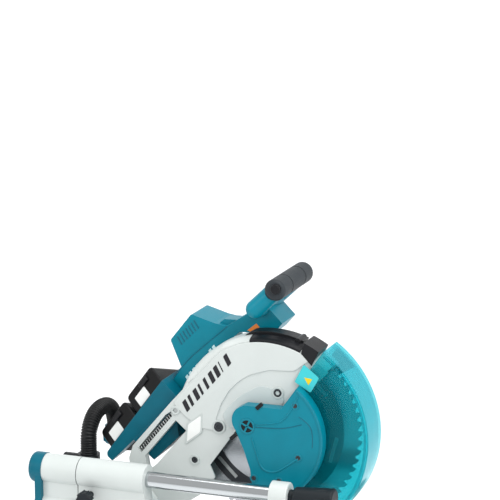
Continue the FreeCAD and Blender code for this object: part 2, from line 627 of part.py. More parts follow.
def arc(radius, start, end):
    """An outline step: an arc round the blade's centre."""
    return (polar(radius, (start + end) / 2), polar(radius, end))


def side_prism(path, x0, x1):
    """Closed outline of points and (middle, end) arcs, drawn side-on and given its width in X."""
    def place(point):
        return Vector(x0, -point[0], point[1])
    edges = []
    here = path[0]
    for step in path[1:] + [path[0]]:
        if isinstance(step[0], tuple):
            edges.append(Part.Arc(place(here), place(step[0]), place(step[1])).toShape())
            here = step[1]
        elif math.dist(here, step) > 1e-6:
            edges.append(Part.LineSegment(place(here), place(step)).toShape())
            here = step
    return Part.Face(Part.Wire(edges)).extrude(Vector(x1 - x0, 0, 0))


def disc(centre, radius, x0, x1):
    return rod((x0, -centre[0], centre[1]), (1, 0, 0), radius, x1 - x0)


def raise_head(shape):
    """Swing a head part up to its rest angle and put it on the carriage's pivot."""
    turned = shape.copy()
    turned.rotate(Vector(0, 0, 0), Vector(1, 0, 0), -HEAD_RAISED)
    turned.translate(Vector(0, PIVOT_Y, PIVOT_Z))
    return turned


# ---- head parts -------------------------------------------------------------------------------
def case_outline(radius, top):
    """Upper blade case and its upper arm edge."""
    start = 1.0
    meet = 62.0
    return [polar(100, start), polar(radius, start), arc(radius, start, meet), (295, top), (272, top + 0.5),
            (221, top - 3), (165, top - 7), (165, 36), (150, -10), (223, -15), (248, -46)]


def blade_case():
    """Cast blade case with its arm down to the chop pivot and the long slotted stay."""
    side = side_prism(case_outline(CASE_SIDE_RADIUS, 95), CASE_LEFT, CASE_RIGHT)
    rim = [polar(98, 2), polar(CASE_RADIUS, 2), arc(CASE_RADIUS, 2, 117), polar(98, 117)]
    crown = side_prism(rim, -14, 12)
    arm = side_prism([(0, 36.9), (72, 31), (150, 38), (225, 25), (226, -15), (143, -29), (135, -49),
                      (95, -54), (0, -36.9)], CASE_LEFT, CASE_RIGHT)
    root = disc((0, 0), 37.0, CASE_LEFT, 34.0)
    body = side.fuse([crown, arm, root]).removeSplitter()
    cavity = disc(BLADE_CENTRE, CASE_RADIUS - 2.5, CASE_LEFT + 3, CASE_RIGHT - 3)
    body = body.cut(cavity)
    web = [(218, -20), (285, 40), (335, 0), (325, -60), (240, -75)]
    left_web = side_prism(web, CASE_LEFT, CASE_LEFT + 3)
    right_web = side_prism(web, CASE_RIGHT - 3, CASE_RIGHT)
    ring = disc(BLADE_CENTRE, 30.0, CASE_LEFT - 12, CASE_LEFT + 3)
    stay = side_prism([(20, 20), (26, 52), (40, 70), (60, 80), (165, 89), (201, 91), (201, 30), (152, 36),
                       (150, 62), (64, 54), (50, 34)], CASE_LEFT, CASE_LEFT + 16)
    slot = side_prism([(62, 62), (64, 71), (142, 80), (154, 78), (150, 71)], CASE_LEFT - 1, CASE_LEFT + 17)
    body = body.fuse([left_web, right_web, ring, stay.cut(slot)]).removeSplitter()
    body = body.cut(disc(BLADE_CENTRE, 24.0, CASE_LEFT - 14, CASE_LEFT + 4))
    body = body.cut(disc(BLADE_CENTRE, 20.0, CASE_RIGHT - 4, CASE_RIGHT + 1))
    return body.cut(disc((0, 0), CHOP_SHAFT_RADIUS + RUNNING, CASE_LEFT - 1, 35))


def case_strip():
    """Black wear strip screwed on the front of the case's crown."""
    inner = CASE_RADIUS
    band = [polar(inner, 24), polar(inner + 4.5, 24), arc(inner + 4.5, 24, 56), polar(inner + 1, 60),
            polar(inner, 60), arc(inner, 60, 24)]
    strip = side_prism(band, -14, 12)
    post = disc(polar(inner + 2, 27), 5.0, -20, 12)
    return joined(strip, post).cut(disc(BLADE_CENTRE, inner, -30, 20))


def case_nose():
    """Dark stop plate at the front end of the case."""
    outline = [polar(142, 11.5), polar(168, 12.5), arc(168, 12.5, 22), polar(150, 21)]
    plate = side_prism(outline, CASE_LEFT - 2.4, 12)
    return plate.cut(disc(BLADE_CENTRE, CASE_RADIUS, -14, 13)).cut(
        disc(BLADE_CENTRE, CASE_SIDE_RADIUS, CASE_LEFT, 13))


def gear_housing():
    """Cast housing of the blade spindle and the drive, on the right of the blade."""
    column = side_prism([(222, -50), (225, 100), (300, 100), (288, -50)], HOUSING_LEFT, 58)
    hub = disc(BLADE_CENTRE, 40.0, HOUSING_LEFT, 72)
    flange = disc(BLADE_CENTRE, 60.0, CASE_RIGHT, HOUSING_LEFT)
    tie = side_prism([(46, 27), (60, 30), (150, 34), (225, 60), (225, 10), (150, -6), (60, -12), (46, -10)],
                     HOUSING_LEFT + 5, 56)
    link = side_prism([(60, 28), (150, 33), (150, -5), (60, -10)], CASE_RIGHT, HOUSING_LEFT + 5)
    housing = joined(column, hub, flange, tie, link)
    return housing.cut(disc(BLADE_CENTRE, SPINDLE_RADIUS + RUNNING, CASE_RIGHT - 2, 66))


def motor_housing():
    """Moulded housing of the motor, on top of the gear housing."""
    belly = [(163, 90), (163, 118), (186, 124), (200, 124), (300, 121), (345, 112), (376, 100), (376, 62),
             (350, 60), (310, 100), (225, 100), (200, 92)]
    body = side_prism(belly, HOUSING_LEFT, 96)
    box = side_prism([(186, 122), (205, 169), (264, 176), (284, 140), (300, 118)], HOUSING_LEFT + 4, 104)
    box = rounded(box, 5.0, lambda e: along(e, (1, 0, 0)) and e.CenterOfMass.z > 130)
    step = side_prism([(284, 118), (284, 134), (300, 133), (318, 116)], HOUSING_LEFT + 10, 70)
    housing = joined(body, box, step)
    room = disc(MOTOR_AXIS, 33.0, HOUSING_LEFT + 8, 98)
    return housing.cut(room).cut(battery_space(0))


def motor_rotor():
    """Brushless motor rotor on its shaft, inside the motor housing."""
    shaft = disc(MOTOR_AXIS, 6.0, HOUSING_LEFT + 9, 97)
    stack = disc(MOTOR_AXIS, 26.0, HOUSING_LEFT + 18, 84)
    return joined(shaft, stack)


def battery_mount():
    """Moulded carrier behind the motor that holds the two batteries."""
    bar = side_prism([(-6, 87), (-7, 97), ((-4, 102), (1, 104.3)), (162.5, 127), (162.5, 90), (74, 88)],
                     -4, 92)
    belly = side_prism([(60, 40), (56, 88), (162.5, 90), (162.5, 60), (150, 40)], -14, 92)
    spout_arm = side_prism([(-14, 87), (10, 89), (10, 98), (-6, 103), (-14, 128), (-34, 142), (-46, 128)],
                           88, 118)
    carrier = joined(bar, belly, spout_arm).cut(battery_space(0)).cut(battery_space(1))
    carrier = carrier.cut(disc(BLADE_CENTRE, CASE_RADIUS + 3, -20, CASE_RIGHT + 2))
    x, y, z = HOSE_ROUTE[-1]
    forward = (PIVOT_Y - y + z - PIVOT_Z) * math.sin(math.radians(HEAD_RAISED))
    upward = (y - PIVOT_Y + z - PIVOT_Z) * math.sin(math.radians(HEAD_RAISED))
    lean = math.sin(math.radians(HEAD_RAISED))
    collar = rod((x, -forward + 22 * lean, upward - 22 * lean), (0, -lean, lean), 18.0, 30)
    bore = rod((x, -forward, upward), (0, -lean, lean), HOSE_RADIUS + RUNNING, 40)
    return joined(carrier, collar).cut(bore)


def battery_place(shape, index):
    """Put a battery, drawn level from its lower left edge, in its sloping seat; 0 is the upper one."""
    placed = shape.copy()
    placed.rotate(Vector(0, 0, 0), Vector(0, 1, 0), PACK_SLOPE)
    placed.translate(Vector(PACK_LEFT, PACK_PITCH * index - UPPER_PACK, -4.0))
    placed.rotate(Vector(0, 0, 0), Vector(1, 0, 0), -BATTERY_TILT)
    placed.translate(Vector(0, 0, PACK_SEAT))
    return placed


def battery(index):
    """Slide-on battery pack."""
    pack = block(0, PACK_LENGTH, -PACK_HALF, PACK_HALF, 0, PACK_HEIGHT)
    pack = rounded(pack, 8.0, lambda e: along(e, (1, 0, 0)) and e.CenterOfMass.z > 10)
    pack = rounded(pack, 2.5, lambda e: e.CenterOfMass.x < 0.1)
    seat = block(-2, 10, -19.5, 3.5, 27.5, 37.5)
    return battery_place(pack.cut(seat), index)


def battery_latch(index):
    """Release button in the battery's left end."""
    button = block(-3.5, 5.2, -19, 3, 28, 37)
    button = rounded(button, 1.5, lambda e: e.CenterOfMass.x < -3.4)
    return battery_place(button, index)


def battery_space(index):
    """The space that a battery takes in its seat and on its way out, with 0.4 of clearance."""
    return battery_place(block(-80, PACK_LENGTH + 0.4, -PACK_HALF - 0.4, PACK_HALF + 0.4, -0.4, 70), index)


def swept_bar(points, radius):
    """Round bar through the points (x, forward, up), with ball corners."""
    parts = []
    for first, second in zip(points, points[1:]):
        start = (first[0], -first[1], first[2])
        end = (second[0], -second[1], second[2])
        parts.append(rod_between(start, end, radius))
    for point in points[1:-1]:
        parts.append(Part.makeSphere(radius, Vector(point[0], -point[1], point[2])))
    return joined(*parts)


def handle():
    """Stem and yoke of the D-shaped handle."""
    stem = side_prism([(301, 112), (301, 118), (362, 124), (376, 106), (376, 96), (345, 108)],
                      HOUSING_LEFT, 64)
    stem = rounded(stem, 6.0, lambda e: e.Length > 40 and e.CenterOfMass.y < -310)
    neck = (47, 361, 106)
    left = swept_bar([neck, (-17, 378, 106), (-18, *GRIP_AXIS), (0, *GRIP_AXIS)], YOKE_RADIUS)
    right = swept_bar([neck, (95, 378, 106), (95, *GRIP_AXIS), (77, *GRIP_AXIS)], YOKE_RADIUS)
    yoke = joined(stem, left, right)
    yoke = yoke.cut(motor_housing()).cut(disc(MOTOR_AXIS, 33.5, HOUSING_LEFT + 7, 99))
    return yoke.cut(disc(GRIP_AXIS, GRIP_RADIUS, -60, 140))


def grip():
    """Rubber-covered cross bar of the handle, with the trigger's slot and the button's bore."""
    bar = disc(GRIP_AXIS, GRIP_RADIUS, -36, 113)
    bar = rounded(bar, 7.0, lambda e: e.CenterOfMass.x < -35 or e.CenterOfMass.x > 112)
    for x in (4, 68):
        waist = disc(GRIP_AXIS, GRIP_RADIUS + 2, x, x + 5).cut(disc(GRIP_AXIS, GRIP_RADIUS - 0.9, x, x + 5))
        bar = bar.cut(waist)
    slot = side_prism([(408, 94), (424, 94), (424, 112), (408, 112)], 14.5, 63.5)
    return bar.cut(slot).cut(disc(BUTTON_AXIS, 8.0 + RUNNING, -40, -26))


def trigger():
    """Finger trigger on the rear side of the grip."""
    outline = [(408.5, 94.5), (404, 97), (404, 109), (408.5, 111.5), (415, 111.5), (415, 94.5)]
    return side_prism(outline, 15, 63)


def lock_off_button():
    """Button at the left end of the grip that frees the trigger."""
    button = disc(BUTTON_AXIS, 8.0, -42, -31.5)
    return rounded(button, 1.5, lambda e: e.CenterOfMass.x < -41)


def saw_blade():
    """Steel blade with carbide-tipped teeth."""
    teeth = 60
    outline = []
    for tooth in range(teeth):
        start = 360.0 * tooth / teeth
        outline.append(polar(BLADE_RADIUS - 7.0, start))
        outline.append(polar(BLADE_RADIUS - 7.5, start + 1.2))
        outline.append(polar(BLADE_RADIUS - 2.0, start + 3.4))
        outline.append(polar(BLADE_RADIUS, start + 5.4))
        outline.append(polar(BLADE_RADIUS - 0.8, start + 5.7))
    blade = side_prism(outline, -1.1, 1.1)
    return blade.cut(disc(BLADE_CENTRE, ARBOR_RADIUS, -2, 2))


def blade_flanges():
    """Outer and inner clamping flanges of the blade."""
    bore = disc(BLADE_CENTRE, SPINDLE_RADIUS, -9, 9)
    outer = disc(BLADE_CENTRE, FLANGE_RADIUS, -7.1, -1.1).cut(bore)
    inner = disc(BLADE_CENTRE, FLANGE_RADIUS, 1.1, 8.1).cut(bore)
    return group(outer, inner)


def spindle():
    """Blade spindle with its collar and the hexagon bolt on the left."""
    shaft = disc(BLADE_CENTRE, SPINDLE_RADIUS, -7.1, 64)
    collar = disc(BLADE_CENTRE, ARBOR_RADIUS, -1.1, 1.1)
    head = side_prism([polar(11.0, 60 * corner) for corner in range(6)], -14, -7.1)
    return joined(shaft, collar, head)


def guard_shell():
    """Transparent lower guard: rim, left wall and a narrow right wall."""
    top, low = GUARD_TOP_ANGLE, GUARD_LOW_ANGLE

    def sector(inner, outer, x0, x1):
        path = [polar(inner, top), polar(outer, top), arc(outer, top, low), polar(inner, low),
                arc(inner, low, top)]
        return side_prism(path, x0, x1)
    rim = sector(GUARD_RADIUS - 3.2, GUARD_RADIUS, GUARD_LEFT, GUARD_RIGHT)
    left = sector(33.0, GUARD_RADIUS, GUARD_LEFT, GUARD_LEFT + 3)
    right = sector(132.0, GUARD_RADIUS, GUARD_RIGHT - 3, GUARD_RIGHT)
    return joined(rim, left, right)


def cover_outline():
    return [polar(COVER_RADIUS, 9.5), arc(COVER_RADIUS, 9.5, -140), (205, -78), (220, -47), (232, -16),
            ((240, 1), (258, 8)), (272, 4), (316, -40)]


def centre_cover():
    """Moulded cover plate over the blade bolt; it turns with the guard."""
    plate = side_prism(cover_outline(), COVER_LEFT, GUARD_LEFT)
    room = COVER_RADIUS - 3.5
    inner = side_prism([polar(room, 7), arc(room, 7, -136), (209, -80), (224, -46), (236, -17),
                        ((243, -1), (258, 4)), (271, 0), (313, -42)], COVER_LEFT + 4, GUARD_LEFT + 1)
    hub = disc(BLADE_CENTRE, 35.0, COVER_LEFT + 4, GUARD_LEFT)
    tray = plate.cut(inner).fuse(hub)
    tray = tray.cut(disc(BLADE_CENTRE, 30.0 + RUNNING, CASE_LEFT - 13, GUARD_LEFT + 1))
    return tray.removeSplitter().cut(disc(PORT_CENTRE, 3.0, COVER_LEFT - 1, COVER_LEFT + 1.5))


# ---- dust hose --------------------------------------------------------------------------------
def smooth_path(points):
    """Straight runs joined by tangent arcs, each as large as its two runs allow."""
    corners = [Vector(*p) for p in points]
    edges = []
    here = corners[0]
    for before, corner, after in zip(corners, corners[1:], corners[2:]):
        back = before - corner
        ahead = after - corner
        turn = math.pi - back.getAngle(ahead)
        reach = 0.45 * min(back.Length, ahead.Length)
        radius = reach / math.tan(turn / 2)
        start = corner + back.normalize() * reach
        end = corner + ahead.normalize() * reach
        inward = (back + ahead).normalize()
        middle = corner + inward * (radius / math.cos(turn / 2) - radius)
        edges.append(Part.LineSegment(here, start).toShape())
        edges.append(Part.Arc(start, middle, end).toShape())
        here = end
    edges.append(Part.LineSegment(here, corners[-1]).toShape())
    return Part.Wire(edges)


def dust_hose():
    """Outer shape of the ribbed hose."""
    path = smooth_path(HOSE_ROUTE)
    first = Vector(*HOSE_ROUTE[0])
    heading = Vector(*HOSE_ROUTE[1]) - first
    ring = Part.Wire([Part.Circle(first, heading, HOSE_RADIUS).toShape()])
    return path.makePipeShell([ring], True, True)


# ---- putting the saw together -----------------------------------------------------------------
def build_stand():
    nodes["stand_beam"] = stand_beam()
    nodes["beam_end_caps"] = group(end_cap(-1), end_cap(1))
    nodes["saw_brackets"] = group(saw_bracket(-1), saw_bracket(1))
    nodes["saw_bolts"] = saw_bolts()
    hinges = {-1: ("left", LEFT_HINGE_Z), 1: ("right", RIGHT_HINGE_Z)}
    nodes["hinge_brackets"] = group(*[hinge_bracket(s, z) for s, (_, z) in hinges.items()])
    nodes["leg_hinge_pins"] = group(*[hinge_pin(s, z) for s, (_, z) in hinges.items()])
    for side, (name, hinge_z) in hinges.items():
        nodes["leg_frame_" + name] = leg_frame(side, hinge_z)
        nodes["feet_" + name] = feet(side, hinge_z)
        nodes["lock_pin_" + name] = lock_pin(side, hinge_z)
        nodes["extension_arm_" + name] = extension_arm(side)
        nodes["roller_post_" + name] = roller_post(side)
        nodes["roller_" + name] = roller(side)
        nodes["arm_knob_" + name] = arm_knob(side)


def build_saw():
    saw = {
        "base_casting": base_casting(),
        "fixed_fence": group(fence_half(), mirrored(fence_half())),
        "sliding_fence_left": mirrored(sliding_fence()),
        "sliding_fence_right": sliding_fence(),
        "turntable": turntable(),
        "kerf_boards": group(kerf_board(-1), kerf_board(1)),
        "mitre_grip": mitre_grip(),
        "mitre_latch": mitre_latch(),
        "bevel_pin": rod((0, 197, 0), (0, 1, 0), BEVEL_PIN_RADIUS, 76),
        "bevel_arm": bevel_arm(),
        "rear_cap": rear_cap(),
        "slide_rails": slide_rails(),
        "front_bracket": front_bracket(),
        "bevel_knob": bevel_knob(),
        "carriage": carriage(),
        "slide_lock_knob": slide_lock_knob(),
        "stopper_pin": stopper_pin(),
        "pivot_shaft": pivot_shaft(),
        "dust_elbow": dust_elbow(),
        "dust_hose": dust_hose(),
    }
    head = {
        "blade_case": blade_case(), "case_strip": case_strip(), "case_nose": case_nose(),
        "gear_housing": gear_housing(), "motor_housing": motor_housing(), "motor_rotor": motor_rotor(),
        "battery_mount": battery_mount(), "handle": handle(), "grip": grip(), "trigger": trigger(),
        "lock_off_button": lock_off_button(), "battery_upper": battery(0), "battery_lower": battery(1),
        "battery_latch_upper": battery_latch(0), "battery_latch_lower": battery_latch(1),
        "saw_blade": saw_blade(), "blade_flanges": blade_flanges(), "spindle": spindle(),
        "guard_shell": guard_shell(), "centre_cover": centre_cover(),
    }
    for name, shape in head.items():
        saw[name] = raise_head(shape)
    for name, shape in saw.items():
        nodes[name] = shape.translated(Vector(0, SAW_Y, TABLE_HEIGHT))


def export():
    os.makedirs("parts", exist_ok=True)
    low = [1e9] * 3
    high = [-1e9] * 3
    for name, shape in nodes.items():
        if shape.ShapeType != "Solid" and len(shape.Solids) == 1:
            shape = shape.Solids[0]
        if not shape.isValid() or not shape.Solids:
            print("CHECK", name, shape.ShapeType, len(shape.Solids))
        shape.exportStep("parts/" + name + ".step")
        box = shape.BoundBox
        low = [min(a, b) for a, b in zip(low, (box.XMin, box.YMin, box.ZMin))]
        high = [max(a, b) for a, b in zip(high, (box.XMax, box.YMax, box.ZMax))]
    print(len(nodes), "nodes; box", [round(v, 2) for v in low], [round(v, 2) for v in high])


build_stand()
build_saw()
export()
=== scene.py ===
import json
import math
import bmesh
import bpy
from mathutils import Matrix, Vector


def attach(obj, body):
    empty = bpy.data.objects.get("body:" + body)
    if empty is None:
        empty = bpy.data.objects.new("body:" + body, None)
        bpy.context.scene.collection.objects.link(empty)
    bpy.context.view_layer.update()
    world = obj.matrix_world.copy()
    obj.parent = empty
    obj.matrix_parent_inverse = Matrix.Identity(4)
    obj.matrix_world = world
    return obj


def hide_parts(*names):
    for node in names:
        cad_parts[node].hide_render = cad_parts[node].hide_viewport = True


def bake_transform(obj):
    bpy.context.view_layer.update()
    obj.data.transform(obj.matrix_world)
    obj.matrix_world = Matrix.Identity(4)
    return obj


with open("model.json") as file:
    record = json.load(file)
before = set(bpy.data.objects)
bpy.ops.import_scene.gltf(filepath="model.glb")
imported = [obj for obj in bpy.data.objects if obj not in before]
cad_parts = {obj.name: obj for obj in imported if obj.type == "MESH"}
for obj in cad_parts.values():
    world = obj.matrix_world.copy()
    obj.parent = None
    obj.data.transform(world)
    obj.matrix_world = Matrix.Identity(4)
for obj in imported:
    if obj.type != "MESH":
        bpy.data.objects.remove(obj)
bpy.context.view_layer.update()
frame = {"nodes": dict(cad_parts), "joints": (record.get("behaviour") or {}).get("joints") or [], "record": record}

# Metres in the row frame. Head pieces are drawn in the head's own plane, in millimetres forward and
# up from the chop pivot, with x to the operator's right, and HEAD turns them into the row frame.
MM = 0.001
JOINTS = {joint["name"]: joint for joint in frame["joints"]}
SAW = Vector(JOINTS["mitre_turn"]["pos_m"])
PIVOT = Vector(JOINTS["chop"]["pos_m"])
BLADE_FORWARD, BLADE_UP = 255.0, -50.0
CASE_SKIN = -35.8         # x just inside the blade case's flat left side
COVER_SKIN = -61.8        # x just inside the centre cover's face
HOUSING_SKIN = 30.2       # x just inside the motor housing's left side
LEAN = math.sqrt(0.5)     # of the head's plane, raised by 45 degrees
BEVEL_ANGLE = 35.0        # degrees; blunter edges stay sharp
BEVEL_SEGMENTS = 2
HEAD = Matrix(((MM, 0, 0, PIVOT.x), (0, -LEAN * MM, LEAN * MM, PIVOT.y),
               (0, LEAN * MM, LEAN * MM, PIVOT.z), (0, 0, 0, 1)))
SAW_FRAME = Matrix.Translation(SAW) @ Matrix.Scale(MM, 4)


# ---- camera -----------------------------------------------------------------------------------
CAMERA_PLACE = (-2.89579, -0.99484, 2.11178)
CAMERA_HEADING = (0.9191, 0.3345, -0.2079)
CAMERA_LENS = 142.56
SENSOR_WIDTH = 36.0
CLIP_END = 60.0


def add_camera():
    camera = bpy.data.objects.new("camera", bpy.data.cameras.new("camera"))
    bpy.context.scene.collection.objects.link(camera)
    camera.location = CAMERA_PLACE
    camera.rotation_euler = Vector(CAMERA_HEADING).to_track_quat("-Z", "Y").to_euler()
    camera.data.lens = CAMERA_LENS
    camera.data.sensor_width = SENSOR_WIDTH
    camera.data.clip_end = CLIP_END
    bpy.context.scene.camera = camera


# ---- dust hose --------------------------------------------------------------------------------
HOSE_ROUTE = [(14, 327, 236), (14, 327, 264), (15, 327, 294), (46, 328, 318), (98, 328, 317),
              (125, 327, 290), (125, 327, 262)]
HOSE_RADIUS = 0.014
RIB_PITCH = 0.0042
RIB_DEPTH = 0.0019
CUFF_LENGTH = 0.012       # smooth end of the hose in each socket


def smooth_line(name, points):
    """The evaluated points of a NURBS curve with these control points, in metres."""
    curve = bpy.data.curves.new(name, "CURVE")
    curve.dimensions = "3D"
    spline = curve.splines.new("NURBS")
    spline.points.add(len(points) - 1)
    for point, place in zip(spline.points, points):
        point.co = (*place, 1.0)
    spline.order_u = 3
    spline.use_endpoint_u = True
    spline.resolution_u = 24
    holder = bpy.data.objects.new(name, curve)
    mesh = bpy.data.meshes.new_from_object(holder)
    line = [vertex.co.copy() for vertex in mesh.vertices]
    bpy.data.objects.remove(holder)
    bpy.data.curves.remove(curve)
    bpy.data.meshes.remove(mesh)
    return line


def walk_along(line, step):
    """Points, tangents and distances at equal steps along a line."""
    lengths = [0.0]
    for first, second in zip(line, line[1:]):
        lengths.append(lengths[-1] + (second - first).length)
    count = round(lengths[-1] / step)
    found = []
    index = 0
    for number in range(count + 1):
        distance = lengths[-1] * number / count
        while index < len(line) - 2 and lengths[index + 1] < distance:
            index += 1
        share = (distance - lengths[index]) / (lengths[index + 1] - lengths[index])
        tangent = (line[index + 1] - line[index]).normalized()
        found.append((line[index].lerp(line[index + 1], share), tangent, distance))
    return found, lengths[-1]


def join_rings(bm, rings):
    """Faces between each ring of vertices and the next."""
    for ring, following in zip(rings, rings[1:]):
        for index in range(len(ring)):
            after = (index + 1) % len(ring)
            bm.faces.new((ring[index], ring[after], following[after], following[index]))


def sweep(bm, stations, radius_at, segments, start_side):
    """A closed tube through the stations; start_side seeds the direction of its first vertex."""
    rings = []
    side = start_side
    for place, tangent, distance in stations:
        side = (side - tangent * side.dot(tangent)).normalized()
        other = tangent.cross(side)
        radius = radius_at(distance)
        ring = []
        for segment in range(segments):
            angle = 2 * math.pi * segment / segments
            offset = side * math.cos(angle) + other * math.sin(angle)
            ring.append(bm.verts.new(place + offset * radius))
        rings.append(ring)
    join_rings(bm, rings)
    bm.faces.new(reversed(rings[0]))
    bm.faces.new(rings[-1])


def add_hose():
    """Ribbed dust hose from the elbow on the carriage to the spout on the head."""
    points = [SAW_FRAME @ Vector(point) for point in HOSE_ROUTE]
    line = smooth_line("hose_line", points)
    stations, length = walk_along(line, RIB_PITCH / 8)

    def rib(distance):
        wave = 0.5 + 0.5 * math.cos(2 * math.pi * distance / RIB_PITCH)
        fullness = 1.0 if min(distance, length - distance) < CUFF_LENGTH else wave ** 0.6
        return HOSE_RADIUS - RIB_DEPTH * (1 - fullness)
    bm = bmesh.new()
    sweep(bm, stations, rib, 40, Vector((1, 0, 0)))
    hose = finish_piece("ribbed_hose", bm, MATERIALS["hose_plastic"], None,
                        smooth=True)
    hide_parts("dust_hose")
    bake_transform(hose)


# ---- mesh helpers -----------------------------------------------------------------------------
def finish_piece(name, bm, material, body, smooth=False, bevel=0.0):
    """Turn a bmesh in the row frame into a piece that rides on a body; bevel is in millimetres."""
    bmesh.ops.recalc_face_normals(bm, faces=bm.faces)
    for face in bm.faces:
        face.smooth = smooth
    mesh = bpy.data.meshes.new(name)
    bm.to_mesh(mesh)
    bm.free()
    piece = bpy.data.objects.new(name, mesh)
    bpy.context.scene.collection.objects.link(piece)
    mesh.materials.append(material)
    if bevel:
        edges = piece.modifiers.new("edges", "BEVEL")
        edges.width = bevel * MM
        edges.segments = BEVEL_SEGMENTS
        edges.limit_method = "ANGLE"
        edges.angle_limit = math.radians(BEVEL_ANGLE)
    if body:
        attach(piece, body)
    return piece


def polar(radius, degrees):
    """Forward and up of a point round the blade's centre; 0 degrees is forward."""
    angle = math.radians(degrees)
    return (BLADE_FORWARD + radius * math.cos(angle), BLADE_UP + radius * math.sin(angle))


def blade_arc(radius, start, end, step=3.0):
    """Outline points on an arc round the blade's centre."""
    count = max(2, round(abs(end - start) / step))
    return [polar(radius, start + (end - start) * number / count) for number in range(count + 1)]


def circle(centre, radius, count=40):
    """Outline points of a circle."""
    turns = [2 * math.pi * number / count for number in range(count)]
    return [(centre[0] + radius * math.cos(t), centre[1] + radius * math.sin(t)) for t in turns]


def rounded_outline(points, radius, steps=5):
    """An outline with its corners rounded."""
    result = []
    count = len(points)
    for index in range(count):
        here = Vector(points[index])
        back = Vector(points[index - 1]) - here
        ahead = Vector(points[(index + 1) % count]) - here
        reach = min(radius, 0.45 * back.length, 0.45 * ahead.length)
        start = here + back.normalized() * reach
        end = here + ahead.normalized() * reach
        for step in range(steps + 1):
            share = step / steps
            bend = start.lerp(here, share).lerp(here.lerp(end, share), share)
            result.append((bend.x, bend.y))
    return result


def extrude_side(bm, outline, x0, x1, matrix=HEAD):
    """A plate with a side-on outline, between two x planes."""
    near = [bm.verts.new(matrix @ Vector((x0, a, b))) for a, b in outline]
    far = [bm.verts.new(matrix @ Vector((x1, a, b))) for a, b in outline]
    bm.faces.new(near)
    bm.faces.new(far)
    count = len(outline)
    for index in range(count):
        after = (index + 1) % count
        bm.faces.new((near[index], near[after], far[after], far[index]))


def ring_side(bm, outer, inner, x0, x1, matrix=HEAD):
    """A plate with a hole; both outlines have the same number of points."""
    loops = []
    for outline, x in ((outer, x0), (outer, x1), (inner, x1), (inner, x0)):
        loops.append([bm.verts.new(matrix @ Vector((x, a, b))) for a, b in outline])
    count = len(outer)
    for first, second in zip(loops, loops[1:] + loops[:1]):
        for index in range(count):
            after = (index + 1) % count
            bm.faces.new((first[index], first[after], second[after], second[index]))


def bead(bm, points, x, radius, matrix=HEAD):
    """A half-sunk round bead along side-on points."""
    path = smooth_line("bead_line", [matrix @ Vector((x, a, b)) for a, b in points])
    stations, _ = walk_along(path, 1.5 * MM)
    sweep(bm, stations, lambda distance: radius * MM, 10, matrix.to_3x3() @ Vector((1, 0, 0)))


def socket_screw(bm, matrix, radius, height):
    """Round screw head with a hexagon socket, standing on z = 0."""
    segments = 36
    turns = [2 * math.pi * number / segments for number in range(segments)]
    round_rings = [(radius, 0), (radius, height * 0.8), (radius * 0.94, height * 0.95),
                   (radius * 0.86, height)]
    rings = []
    for reach, z in round_rings:
        rings.append([bm.verts.new(matrix @ Vector((reach * math.cos(turn), reach * math.sin(turn),
                                                    z)))
                      for turn in turns])
    for z in (height, height * 0.35):
        ring = []
        for turn in turns:
            reach = 0.5 * radius / math.cos((turn % (math.pi / 3)) - math.pi / 6)
            ring.append(bm.verts.new(matrix @ Vector((reach * math.cos(turn),
                                                      reach * math.sin(turn), z))))
        rings.append(ring)
    join_rings(bm, rings)
    bm.faces.new(rings[0])
    bm.faces.new(rings[-1])


def facing(place, direction, matrix=HEAD):
    """A frame in millimetres at a place of the given frame, with Z along a direction of it."""
    turn = matrix.to_3x3().normalized()
    heading = (turn @ Vector(direction)).normalized()
    rotation = heading.to_track_quat("Z", "Y").to_matrix().to_4x4()
    return Matrix.Translation(matrix @ Vector(place)) @ rotation @ Matrix.Scale(MM, 4)


# ---- materials --------------------------------------------------------------------------------
def linear(colour):
    """Linear light values of an 8-bit screen colour."""
    values = []
    for part in colour:
        share = part / 255
        values.append(share / 12.92 if share <= 0.04045 else ((share + 0.055) / 1.055) ** 2.4)
    return values


